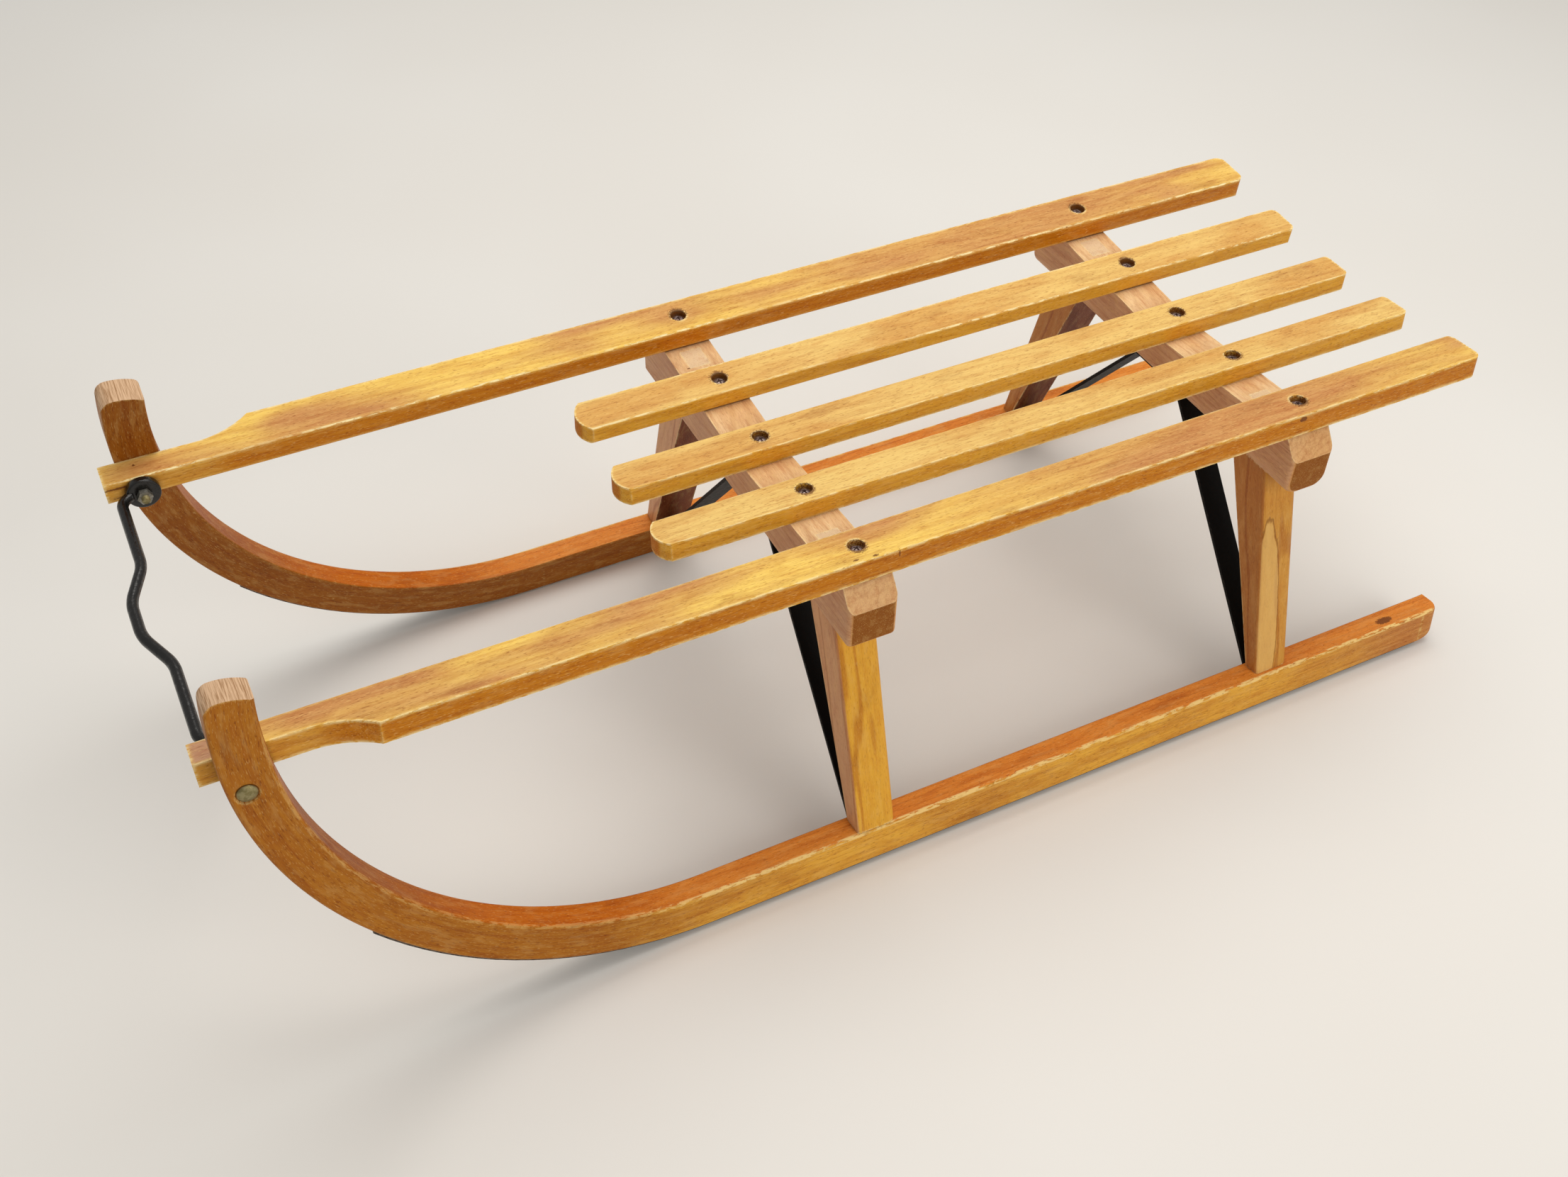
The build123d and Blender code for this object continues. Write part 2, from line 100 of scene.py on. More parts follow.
class Sheet:
    """The node tree of one material, with short calls for the nodes that the finishes share."""

    def __init__(self, name: str) -> None:
        """Starts an empty material.

        Args:
            name: The material's name.
        """
        self.material = bpy.data.materials.new(name)
        self.material.use_nodes = True
        self.tree = self.material.node_tree
        self.tree.nodes.clear()
        self.shader = self.add("ShaderNodeBsdfPrincipled")
        output = self.add("ShaderNodeOutputMaterial")
        self.tree.links.new(self.shader.outputs["BSDF"], output.inputs["Surface"])

    def add(self, kind: str, **settings: object) -> bpy.types.Node:
        """Adds a node and sets its properties.

        Args:
            kind: The node's type.
            settings: Its properties by name.

        Returns:
            The new node.
        """
        node = self.tree.nodes.new(kind)
        for name, value in settings.items():
            setattr(node, name, value)
        return node

    def feed(self, socket: Socket, value: Value) -> None:
        """Links a socket to another, or gives it a constant.

        Args:
            socket: The input.
            value: An output socket, or the constant.
        """
        if isinstance(value, bpy.types.NodeSocket):
            self.tree.links.new(value, socket)
        else:
            socket.default_value = value

    def calc(self, operation: str, *values: Value, clamp: bool = False) -> Socket:
        """Runs one step of arithmetic.

        Args:
            operation: The Math node's operation.
            values: Its inputs in order.
            clamp: Whether the result is held between 0 and 1.

        Returns:
            The result's socket.
        """
        node = self.add("ShaderNodeMath", operation=operation, use_clamp=clamp)
        for socket, value in zip(node.inputs, values):
            self.feed(socket, value)
        return node.outputs[0]

    def blend(self, share: Value, low: Value, high: Value, mode: str = "MIX") -> Socket:
        """Mixes two colours.

        Args:
            share: How much of the second colour shows.
            low: The first colour.
            high: The second colour.
            mode: The Mix node's blend type.

        Returns:
            The mixed colour's socket.
        """
        node = self.add("ShaderNodeMix", data_type="RGBA", blend_type=mode, clamp_factor=True)
        self.feed(node.inputs[0], share)
        self.feed(node.inputs[6], low)
        self.feed(node.inputs[7], high)
        return node.outputs[2]

    def product(self, *values: Value) -> Socket:
        """Multiplies two or more values.

        Args:
            values: The factors in order.

        Returns:
            Their product's socket.
        """
        result = values[0]
        for value in values[1:]:
            result = self.calc("MULTIPLY", result, value)
        return result

    def band(
        self, value: Value, low: float, high: float, start: float = 0.0, end: float = 1.0
    ) -> Socket:
        """Maps a range smoothly onto another.

        Args:
            value: What is mapped.
            low: The input at which the output is start.
            high: The input at which the output is end.
            start: The output below the range.
            end: The output above the range.

        Returns:
            The mapped value's socket.
        """
        node = self.add("ShaderNodeMapRange", interpolation_type="SMOOTHSTEP")
        for name, given in (
            ("Value", value),
            ("From Min", low),
            ("From Max", high),
            ("To Min", start),
            ("To Max", end),
        ):
            self.feed(node.inputs[name], given)
        return node.outputs[0]

    def noise(self, place: Value, scale: float, detail: float, rough: float = 0.5) -> Socket:
        """Samples fractal noise.

        Args:
            place: The vector it is read at.
            scale: Cycles per unit of that vector.
            detail: Octaves beyond the first.
            rough: Weight of the finer octaves.

        Returns:
            A value around 0.5.
        """
        node = self.add("ShaderNodeTexNoise")
        self.feed(node.inputs["Vector"], place)
        self.feed(node.inputs["Scale"], scale)
        self.feed(node.inputs["Detail"], detail)
        self.feed(node.inputs["Roughness"], rough)
        return node.outputs[0]

    def stretch(
        self, place: Value, scale: Triple, turn: Triple = (0, 0, 0), shift: Triple = (0, 0, 0)
    ) -> Socket:
        """Scales, turns and then shifts a vector.

        Args:
            place: The vector.
            scale: Factors along its axes.
            turn: Angles about its axes.
            shift: What is added at the end.

        Returns:
            The mapped vector's socket.
        """
        node = self.add("ShaderNodeMapping", vector_type="POINT")
        self.feed(node.inputs["Vector"], place)
        node.inputs["Scale"].default_value = scale
        node.inputs["Rotation"].default_value = turn
        node.inputs["Location"].default_value = shift
        return node.outputs[0]

    def parts(self, vector: Value) -> tuple[Socket, Socket, Socket]:
        """Splits a vector into its three numbers.

        Args:
            vector: The vector.

        Returns:
            The sockets of X, Y and Z.
        """
        node = self.add("ShaderNodeSeparateXYZ")
        self.feed(node.inputs[0], vector)
        return node.outputs[0], node.outputs[1], node.outputs[2]

    def pack(self, x: Value, y: Value, z: Value) -> Socket:
        """Joins three numbers into a vector.

        Args:
            x: The first number.
            y: The second number.
            z: The third number.

        Returns:
            The vector's socket.
        """
        node = self.add("ShaderNodeCombineXYZ")
        for socket, value in zip(node.inputs, (x, y, z)):
            self.feed(socket, value)
        return node.outputs[0]

    def millimetres(self, place: Value, shift: Triple = (0, 0, 0)) -> Socket:
        """Turns a place in metres into millimetres.

        Args:
            place: The place in metres.
            shift: What is added at the end, in millimetres.

        Returns:
            The place's socket.
        """
        return self.stretch(place, (PER_METRE,) * 3, shift=shift)

    def place(self) -> Socket:
        """Gives the point's Object coordinates in metres."""
        return self.add("ShaderNodeTexCoord").outputs["Object"]

    def carried(self) -> Socket:
        """Gives the place in the grain's axes that a built piece carries, in metres."""
        return self.add("ShaderNodeAttribute", attribute_name="grain").outputs["Vector"]

    def facing(self) -> Socket:
        """Gives the surface's true normal."""
        return self.add("ShaderNodeNewGeometry").outputs["True Normal"]

    def own_normal(self) -> Socket:
        """Gives the surface's normal in the object's own axes."""
        return self.add("ShaderNodeTexCoord").outputs["Normal"]

    def edge(self, radius: float) -> Socket:
        """Finds sharp edges: 0 on flat ground, rising to about 0.3 on a square arris.

        Args:
            radius: How far from an edge the mask starts, in metres.

        Returns:
            The mask's socket: one less the cosine between the eased and the true normal.
        """
        eased = self.add("ShaderNodeBevel", samples=6)
        eased.inputs["Radius"].default_value = radius
        dot = self.add("ShaderNodeVectorMath", operation="DOT_PRODUCT")
        self.feed(dot.inputs[0], eased.outputs[0])
        self.feed(dot.inputs[1], self.facing())
        return self.calc("SUBTRACT", 1.0, dot.outputs["Value"])

    def paint(self, base: Value, rough: Value) -> None:
        """Gives the shader its base colour and roughness.

        Args:
            base: The colour.
            rough: The roughness.
        """
        self.feed(self.shader.inputs["Base Color"], base)
        self.feed(self.shader.inputs["Roughness"], rough)

    def relief(self, *layers: tuple[Socket, float]) -> None:
        """Adds bump layers to the shader's normal.

        Args:
            layers: Pairs of a height from 0 to 1 and its full height in metres.
        """
        normal = None
        for height, depth in layers:
            bump = self.add("ShaderNodeBump")
            bump.inputs["Distance"].default_value = depth
            self.feed(bump.inputs["Height"], height)
            if normal is not None:
                self.feed(bump.inputs["Normal"], normal)
            normal = bump.outputs[0]
        self.feed(self.shader.inputs["Normal"], normal)


@dataclass(frozen=True)
class Layer:
    """One noise in the grain's axes, and the range of it that shows.

    Along and across are cycles per millimetre. The mask is empty below low and full above
    high, and tint is the colour that it multiplies the wood by.
    """

    along: float
    across: float
    detail: float = 2.0
    rough: float = 0.5
    shift: Triple = (0.0, 0.0, 0.0)
    low: float = 0.0
    high: float = 1.0
    tint: str = ""

    def noise(self, sheet: Sheet, place: Socket) -> Socket:
        """Samples the noise.

        Args:
            sheet: The material's nodes.
            place: The point in the grain's axes.

        Returns:
            A value around 0.5.
        """
        drawn_out = sheet.stretch(place, (self.along, self.across, self.across), shift=self.shift)
        return sheet.noise(drawn_out, 1.0, self.detail, self.rough)

    def mask(self, sheet: Sheet, noise: Socket, least: float = 0.0) -> Socket:
        """Shows the noise between low and high.

        Args:
            sheet: The material's nodes.
            noise: The layer's noise.
            least: The mask's value below the range.

        Returns:
            The mask's socket.
        """
        return sheet.band(noise, self.low, self.high, least)


# The layers of the wood: slow drift and wander first, then figure, wear and swell.
DRIFT = Layer(0.006, 0.02)
WANDER = Layer(0.004, 0.03)
FIBRES = Layer(0.05, 1.9, detail=4.0, rough=0.6, low=0.44, high=0.72, tint="c99664")
STREAKS = Layer(0.012, 0.3, detail=4.0, rough=0.55, low=0.42, high=0.7, tint="cf9a68")
MOTTLE = Layer(0.045, 0.16, detail=3.0, rough=0.6, low=0.5, high=0.72, tint="dba070")
FLECKS = Layer(0.22, 1.3, detail=1.0, low=0.6, high=0.7, tint="a8703c")
RAYS = Layer(0.25, 1.4, detail=1.0, shift=(5, 70, 9), low=0.6, high=0.7)
STAINS = Layer(0.014, 0.045, detail=4.0, rough=0.6, shift=(40, 7, 3), low=0.57, high=0.74, tint="a87048")
CHIPS = Layer(0.09, 0.4, detail=4.0, rough=0.7, low=0.43, high=0.53)
PATCHES = Layer(0.012, 0.02, shift=(9, 2, 5), low=0.3, high=0.55)
NICKS = Layer(0.22, 0.5, rough=0.6, shift=(3, 8, 1), low=0.68, high=0.74)
SWELL = Layer(0.02, 0.06)
LATE_WOOD = "c08446"

# How far the normal leans one way before a face counts as looking that way.
UPWARD: Span = (0.2, 0.75)
SIDEWAYS: Span = (0.5, 0.8)
FRONTWARD: Span = (0.4, 0.8)
ENDWARD: Span = (0.86, 0.96)
ROUNDING: Span = (0.3, 0.6)
LEVEL: Span = (0.985, 0.9)


@dataclass(frozen=True)
class Wood:
    """Old varnished beech: a worn top, deeper sides, dry ends, and figure laid over all three."""

    name: str
    grain: Grain
    shift: Triple = (0.0, 0.0, 0.0)
    turn: Triple = (0.0, 0.0, 0.0)
    top: str = "e9be66"
    aged: str = "d9a256"
    aged_drift: Span = (0.4, 0.62)
    top_level: float = 0.2
    top_ease: float = 0.4
    side: str = "cf7f2c"
    # Colour of the faces that look forward; on the rear legs it is painted shade.
    front: str = ""
    # A darker colour painted as shade on the faces that look inward; inside_sign gives which way of Y that
    # is.
    inside: str = ""
    inside_sign: int = 1
    end: str = "c9792c"
    pale: str = "fdeab0"
    curl: str = "f6d084"
    # Colour of the painted highlight along the seat's arrises.
    arris_highlight: str = "f4c24c"
    dark: str = "6a3616"
    bare: str = "cfa07c"
    fore: str = "dca03c"
    ring_pitch: float = 9.0
    ring_start: float = 0.35
    ring_share: float = 0.16
    ring_wander: float = 60.0
    ring_slant: float = 0.35
    streak_share: float = 0.3
    mottle_share: float = 0.22
    fibre_share: float = 0.35
    fleck_share: float = 0.5
    ray_share: float = 0.3
    stain_share: float = 0.35
    curl_share: float = 0.12
    curl_mottle: Span = (0.5, 0.32)
    arris_share: float = 0.0
    arris_reach: float = 3.0
    # Painted highlight along the seat's arrises: its share, edge range and speckle.
    arris_highlight_share: float = 0.55
    arris_highlight_edge: Span = (0.004, 0.06)
    arris_highlight_chips: Span = (0.3, 0.45)
    wear_share: float = 0.5
    wear_edge: Span = (0.02, 0.16)
    patch_least: float = 0.25
    nick_edge: Span = (0.02, 0.2)
    nick_share: float = 0.75
    # Painted shade in corners and hollows: its reach in millimetres, the occlusion range and its share.
    corner_shade_reach: float = 6.0
    corner_shade_hollow: Span = (0.72, 0.3)
    corner_shade_share: float = 0.6
    gloss: float = 0.34
    fibre_rough: float = 0.2
    bare_rough: float = 0.25
    aft_share: float = 0.0
    aft_rise: Span = (30.0, -150.0)
    aft_fall: Span = (-500.0, -340.0)
    aft_fall_least: float = 0.35
    aft_drift: Span = (0.3, 0.55)
    aft_drift_least: float = 0.6
    fore_start: float = 900.0
    fore_ease: float = 30.0
    bare_start: float = 900.0
    bare_ragged: float = 16.0
    bare_ease: float = 4.0
    marks: tuple[Mark, ...] = ()
    mark_edge: Span = (1.6, 1.3)
    mark_share: float = 0.85
    mark_ragged: float = 0.9
    ovals: tuple[Mark, ...] = ()
    oval_ragged: float = 0.25
    oval_edge: Span = (1.12, 1.05)
    oval_share: float = 0.35
    rim_reach: Span = (0.045, 0.01)
    rim_share: float = 0.5

    def grained(self, sheet: Sheet) -> Socket:
        """Places the point in the grain's own axes.

        Args:
            sheet: The material's nodes.

        Returns:
            A vector in millimetres: along the grain, across it and through it.
        """
        if self.grain is Grain.CARRIED:
            return sheet.millimetres(sheet.carried(), self.shift)
        x, y, z = sheet.parts(sheet.stretch(sheet.place(), (1, 1, 1), self.turn))
        order = {
            Grain.ALONG_X: (x, y, z),
            Grain.ALONG_Y: (y, x, z),
            Grain.ALONG_Z: (z, x, y),
        }[self.grain]
        return sheet.millimetres(sheet.pack(*order), self.shift)

    def ground(self, sheet: Sheet, place: Socket) -> tuple[Socket, Value]:
        """Colours the wood by the way each face looks: up, sideways or along the grain; a given inside
        colour paints shade on the faces that look inward.

        Args:
            sheet: The material's nodes.
            place: The point in the grain's axes.

        Returns:
            The plain colour, and a mask that is 1 on end grain.
        """
        x, y, z = sheet.parts(sheet.own_normal())
        along = {Grain.ALONG_X: x, Grain.ALONG_Y: y, Grain.ALONG_Z: z}[self.grain]
        drift = DRIFT.noise(sheet, place)
        forward = sheet.calc("MULTIPLY", sheet.parts(sheet.place())[0], PER_METRE)
        aft = sheet.product(
            sheet.band(forward, *self.aft_rise),
            sheet.band(forward, *self.aft_fall, self.aft_fall_least),
            sheet.band(drift, *self.aft_drift, self.aft_drift_least),
            self.aft_share,
        )
        tone = sheet.calc("MAXIMUM", sheet.band(drift, *self.aged_drift), aft)
        top = sheet.blend(tone, colour(self.top), colour(self.aged))
        at_fore = sheet.band(forward, self.fore_start, self.fore_start + self.fore_ease)
        side = sheet.blend(at_fore, colour(self.side), colour(self.fore))
        # Faces that look forward take the front colour: the members' own paler tone, and on the rear legs a
        # painted shade.
        if self.front:
            side = sheet.blend(sheet.band(x, *FRONTWARD), side, colour(self.front))
        # Painted shade: the faces that look inward take the darker inside colour.
        if self.inside:
            inward = sheet.calc("MULTIPLY", y, self.inside_sign)
            side = sheet.blend(sheet.band(inward, *SIDEWAYS), side, colour(self.inside))
        base = sheet.blend(sheet.band(z, self.top_level, self.top_level + self.top_ease), side, top)
        ends = sheet.band(sheet.calc("ABSOLUTE", along), *ENDWARD)
        base = sheet.blend(ends, base, colour(self.end))
        ragged = sheet.calc("MULTIPLY_ADD", drift, self.bare_ragged, forward)
        start = self.bare_start + self.bare_ragged / 2
        rubbed = sheet.product(sheet.band(ragged, start, start + self.bare_ease), sheet.band(z, *UPWARD))
        return sheet.blend(rubbed, base, colour(self.bare)), ends

    def rings(self, sheet: Sheet, place: Socket) -> Socket:
        """Draws the growth rings, cut flat so that they run in long wandering lines.

        The height through the grain is bent by slow noise, and a sine of it over the ring
        pitch, sharpened on one side, gives the dark late wood.

        Args:
            sheet: The material's nodes.
            place: The point in the grain's axes.

        Returns:
            A mask that is 1 in late wood.
        """
        _, across, through = sheet.parts(place)
        slanted = sheet.calc("MULTIPLY_ADD", across, self.ring_slant, through)
        bent = sheet.calc("MULTIPLY_ADD", WANDER.noise(sheet, place), self.ring_wander, slanted)
        wave = sheet.calc("SINE", sheet.calc("MULTIPLY", bent, 2 * np.pi / self.ring_pitch))
        return sheet.band(wave, self.ring_start, 1.0)

    def figure(self, sheet: Sheet, place: Socket, base: Socket, ends: Value) -> tuple[Socket, Socket]:
        """Lays streaks, rings, mottle, fibres, flecks, stains and pale curl over the plain colour.

        Args:
            sheet: The material's nodes.
            place: The point in the grain's axes.
            base: The plain colour.
            ends: The end grain's mask, where streaks and rings don't show.

        Returns:
            The figured colour and the fibres' height.
        """
        lengthwise = sheet.calc("SUBTRACT", 1.0, ends)
        streaks, mottle, fibres, flecks, stains, rays = (
            layer.noise(sheet, place) for layer in (STREAKS, MOTTLE, FIBRES, FLECKS, STAINS, RAYS)
        )
        tints = (
            (sheet.product(STREAKS.mask(sheet, streaks), lengthwise), self.streak_share, STREAKS.tint),
            (sheet.product(self.rings(sheet, place), lengthwise), self.ring_share, LATE_WOOD),
            (MOTTLE.mask(sheet, mottle), self.mottle_share, MOTTLE.tint),
            (FIBRES.mask(sheet, fibres), self.fibre_share, FIBRES.tint),
            (FLECKS.mask(sheet, flecks), self.fleck_share, FLECKS.tint),
            (STAINS.mask(sheet, stains), self.stain_share, STAINS.tint),
        )
        for mask, share, tint in tints:
            base = sheet.blend(sheet.product(mask, share), base, colour(tint), "MULTIPLY")
        curl = sheet.product(sheet.band(mottle, *self.curl_mottle), self.curl_share)
        curl = sheet.calc("MAXIMUM", curl, sheet.product(RAYS.mask(sheet, rays), self.ray_share))
        base = sheet.blend(curl, base, colour(self.curl))
        for centre, reach in self.ovals:
            base = self.oval(sheet, base, mottle, centre, reach)
        return base, fibres

    def oval(self, sheet: Sheet, base: Socket, mottle: Socket, centre: Triple, reach: Triple) -> Socket:
        """Lays a pale oval with a thin dark rim on the faces that look sideways.

        Args:
            sheet: The material's nodes.
            base: The figured colour.
            mottle: The noise that makes the oval's line uneven.
            centre: Its middle in millimetres.
            reach: Its half sizes in millimetres.

        Returns:
            The colour with the oval.
        """
        sideways = sheet.band(sheet.calc("ABSOLUTE", sheet.parts(sheet.own_normal())[1]), *SIDEWAYS)
        far = sheet.calc("MULTIPLY_ADD", mottle, self.oval_ragged, self.distance(sheet, centre, reach))
        inside = sheet.band(far, *self.oval_edge, 0.0, self.oval_share)
        base = sheet.blend(sheet.product(inside, sideways), base, colour(self.curl))
        from_line = sheet.calc("ABSOLUTE", sheet.calc("SUBTRACT", far, self.oval_edge[0]))
        rim = sheet.band(from_line, *self.rim_reach, 0.0, self.rim_share)
        return sheet.blend(sheet.product(rim, sideways), base, colour(self.dark))

    def worn(self, sheet: Sheet, place: Socket, base: Socket) -> tuple[Socket, Socket]:
        """Rubs the arrises pale and chips them, paints a highlight along the seat's arrises, and paints
        shade into the corners.

        Args:
            sheet: The material's nodes.
            place: The point in the grain's axes.
            base: The figured colour.

        Returns:
            The worn colour with its painted highlight and shade, and the mask of bare wood.
        """
        chips = CHIPS.noise(sheet, place)
        arris = sheet.edge(self.arris_reach * MM)
        # Painted highlight: a brighter golden strip along the arrises, speckled by the chips.
        arris_highlight = sheet.product(
            sheet.band(arris, *self.arris_highlight_edge),
            self.arris_share * self.arris_highlight_share,
            sheet.band(chips, *self.arris_highlight_chips),
        )
        base = sheet.blend(arris_highlight, base, colour(self.arris_highlight))
        sharp = sheet.product(sheet.band(arris, *self.wear_edge), self.wear_share)
        sharp = sheet.calc("MAXIMUM", sharp, self.corner(sheet))
        up = sheet.parts(sheet.own_normal())[2]
        # The seat's rounded top arrises rub pale: partly worn wood, partly a painted highlight along them.
        rounded = sheet.product(
            sheet.band(up, *ROUNDING),
            sheet.band(up, *LEVEL),
            PATCHES.mask(sheet, PATCHES.noise(sheet, place), self.patch_least),
            self.arris_share,
        )
        bare = sheet.product(sheet.calc("MAXIMUM", sharp, rounded), CHIPS.mask(sheet, chips))
        base = sheet.blend(bare, base, colour(self.pale))
        nicks = NICKS.mask(sheet, NICKS.noise(sheet, place))
        nicked = sheet.product(nicks, sheet.band(bare, *self.nick_edge, 0.0, self.nick_share))
        base = sheet.blend(nicked, base, colour(self.dark))
        # Dark marks: real marks, and on the seat also the painted shade in the counterbores.
        for centre, reach in self.marks:
            base = sheet.blend(self.mark(sheet, centre, reach), base, colour(self.dark))
        # Painted shade: an occlusion mask darkens the wood in corners, hollows and joints between parts.
        hollow = sheet.add("ShaderNodeAmbientOcclusion", samples=4)
        hollow.inputs["Distance"].default_value = self.corner_shade_reach * MM
        corner_shade = sheet.band(hollow.outputs["AO"], *self.corner_shade_hollow, 0.0, self.corner_shade_share)
        return sheet.blend(corner_shade, base, colour(self.dark)), bare

    def corner(self, sheet: Sheet) -> Value:
        """Masks a rounded corner that rubs; plain wood has none beyond its arrises."""
        return 0.0

    def mark(self, sheet: Sheet, centre: Triple, reach: Triple) -> Socket:
        """Masks one small dark mark, an uneven ellipsoid.

        Args:
            sheet: The material's nodes.
            centre: Its middle in millimetres.
            reach: Its half sizes in millimetres.

        Returns:
            A mask that is nearly 1 inside it.
        """
        far = self.distance(sheet, centre, reach)
        ragged = sheet.noise(sheet.millimetres(sheet.place()), self.mark_ragged, 2.0)
        return sheet.band(sheet.calc("ADD", far, ragged), *self.mark_edge, 0.0, self.mark_share)

    def distance(self, sheet: Sheet, centre: Triple, reach: Triple) -> Socket:
        """Measures how far the point is from a middle, in half sizes.

        Args:
            sheet: The material's nodes.
            centre: The middle in millimetres.
            reach: The half sizes in millimetres.

        Returns:
            A distance that is 1 on the ellipsoid.
        """
        scale = tuple(PER_METRE / size for size in reach)
        shift = tuple(-middle / size for middle, size in zip(centre, reach))
        length = sheet.add("ShaderNodeVectorMath", operation="LENGTH")
        sheet.feed(length.inputs[0], sheet.stretch(sheet.place(), scale, shift=shift))
        return length.outputs["Value"]

    def material(self) -> bpy.types.Material:
        """Builds the finish.

        Returns:
            The material.
        """
        sheet = Sheet(self.name)
        place = self.grained(sheet)
        base, ends = self.ground(sheet, place)
        base, fibres = self.figure(sheet, place, base, ends)
        base, bare = self.worn(sheet, place, base)
        rough = sheet.calc("MULTIPLY_ADD", fibres, self.fibre_rough, self.gloss)
        rough = sheet.calc("MULTIPLY_ADD", sheet.calc("MAXIMUM", bare, ends), self.bare_rough, rough)
        sheet.paint(base, rough)
        sheet.shader.inputs["Specular IOR Level"].default_value = 0.1
        sheet.shader.inputs["Coat Weight"].default_value = 0.05
        sheet.shader.inputs["Coat Roughness"].default_value = 0.25
        sheet.relief((fibres, 0.25 * MM), (SWELL.noise(sheet, place), 1.5 * MM), (bare, -0.2 * MM))
        return sheet.material


@dataclass(frozen=True)
class BentWood(Wood):
    """Steamed wood of the runners: golden outer face, orange deck, dark bend and inner face."""

    aged_drift: Span = (0.45, 0.65)
    deck: str = "e68e36"
    bent_deck: str = "c86c10"
    horn_deck: str = "aa6220"
    bent: str = "b4711c"
    tail: str = "c27c40"
    tail_span: Span = (170.0, 30.0)
    tail_share: float = 0.85
    inner: str = "985a16"
    bend_start: float = 690.0
    bend_full: float = 830.0
    horn_span: Span = (900.0, 1050.0)
    bar_height: float = 32.5
    deck_level: float = 32.0
    inner_level: float = 22.5
    face_ease: float = 0.8
    # The deck's outer corner: partly rubbed pale, partly a painted highlight along the arris.
    corner_depth: Span = (3.3, 2.3)
    corner_bent: float = 0.25
    corner_straight: float = 0.95

    def ground(self, sheet: Sheet, place: Socket) -> tuple[Socket, Value]:
        """Colours the wood by its place along the runner and round its section.

        Args:
            sheet: The material's nodes.
            place: The point in the grain's axes, shifted for the figure.

        Returns:
            The plain colour, and an end grain mask that is 0 everywhere.
        """
        run, up, inward = sheet.parts(sheet.millimetres(sheet.carried()))
        curved = sheet.band(run, self.bend_start, self.bend_full)
        tail = sheet.band(run, *self.tail_span, 0.0, self.tail_share)
        drift = sheet.band(DRIFT.noise(sheet, place), *self.aged_drift)
        outer = sheet.blend(drift, colour(self.top), colour(self.aged))
        outer = sheet.blend(tail, outer, colour(self.tail))
        outer = sheet.blend(curved, outer, colour(self.bent))
        deck = sheet.blend(curved, colour(self.deck), colour(self.bent_deck))
        deck = sheet.blend(sheet.band(run, *self.horn_span), deck, colour(self.horn_deck))
        base = sheet.blend(sheet.band(up, self.deck_level - self.face_ease, self.deck_level), outer, deck)
        depth = sheet.calc("ABSOLUTE", inward)
        on_inner = sheet.band(depth, self.inner_level - self.face_ease, self.inner_level)
        return sheet.blend(on_inner, base, colour(self.inner)), 0.0

    def corner(self, sheet: Sheet) -> Value:
        """Masks the deck's rounded outer corner along the straight: rubbed pale wood, and a painted
        highlight along that arris as well.

        The depth below the deck and the depth from the outer face add up to little only
        near that corner.

        Args:
            sheet: The material's nodes.

        Returns:
            The mask's socket.
        """
        run, up, inward = sheet.parts(sheet.millimetres(sheet.carried()))
        below = sheet.calc("SUBTRACT", self.bar_height, up)
        depth = sheet.calc("ADD", below, sheet.calc("ABSOLUTE", inward))
        straight = sheet.band(run, self.bend_full, self.bend_start, self.corner_bent, self.corner_straight)
        return sheet.product(sheet.band(depth, *self.corner_depth), straight)


@dataclass(frozen=True)
class EndGrain:
    """A sawn end with no varnish: pale, dry and finely lined."""

    name: str = "bare_end_grain"
    pale: str = "d6b18c"
    line: str = "a37a52"
    lining: Triple = (0.25, 1.3, 0.05)
    lined: Span = (0.42, 0.66)
    roughness: float = 0.8

    def material(self) -> bpy.types.Material:
        """Builds the finish.

        Returns:
            The material.
        """
        sheet = Sheet(self.name)
        place = sheet.stretch(sheet.millimetres(sheet.carried()), self.lining)
        lines = sheet.noise(place, 1.0, 3.0, 0.6)
        base = sheet.blend(sheet.band(lines, *self.lined), colour(self.pale), colour(self.line))
        sheet.paint(base, self.roughness)
        sheet.relief((lines, 0.5 * MM))
        return sheet.material


@dataclass(frozen=True)
class Metal:
    """Bare or plated steel with dull patches."""

    name: str
    bright: str
    dull: str
    rust: str = "5a3a22"
    rust_share: float = 0.3
    roughness: float = 0.4
    metallic: float = 0.9
    patch_scale: float = 0.35
    patch_range: Span = (0.4, 0.62)
    patch_rough: float = 0.3
    grit_scale: float = 1.8
    grit_range: Span = (0.52, 0.7)

    def material(self) -> bpy.types.Material:
        """Builds the finish.

        Returns:
            The material.
        """
        sheet = Sheet(self.name)
        place = sheet.millimetres(sheet.place())
        patches = sheet.noise(place, self.patch_scale, 4.0, 0.6)
        grit = sheet.noise(place, self.grit_scale, 3.0, 0.6)
        dulled = sheet.band(patches, *self.patch_range)
        base = sheet.blend(dulled, colour(self.bright), colour(self.dull))
        rust = sheet.product(sheet.band(grit, *self.grit_range), self.rust_share)
        base = sheet.blend(rust, base, colour(self.rust))
        rough = sheet.calc("MULTIPLY_ADD", patches, self.patch_rough, self.roughness - SMOOTHER)
        sheet.paint(base, rough)
        sheet.feed(sheet.shader.inputs["Metallic"], sheet.calc("SUBTRACT", self.metallic, rust))
        sheet.relief((grit, 0.15 * MM))
        return sheet.material


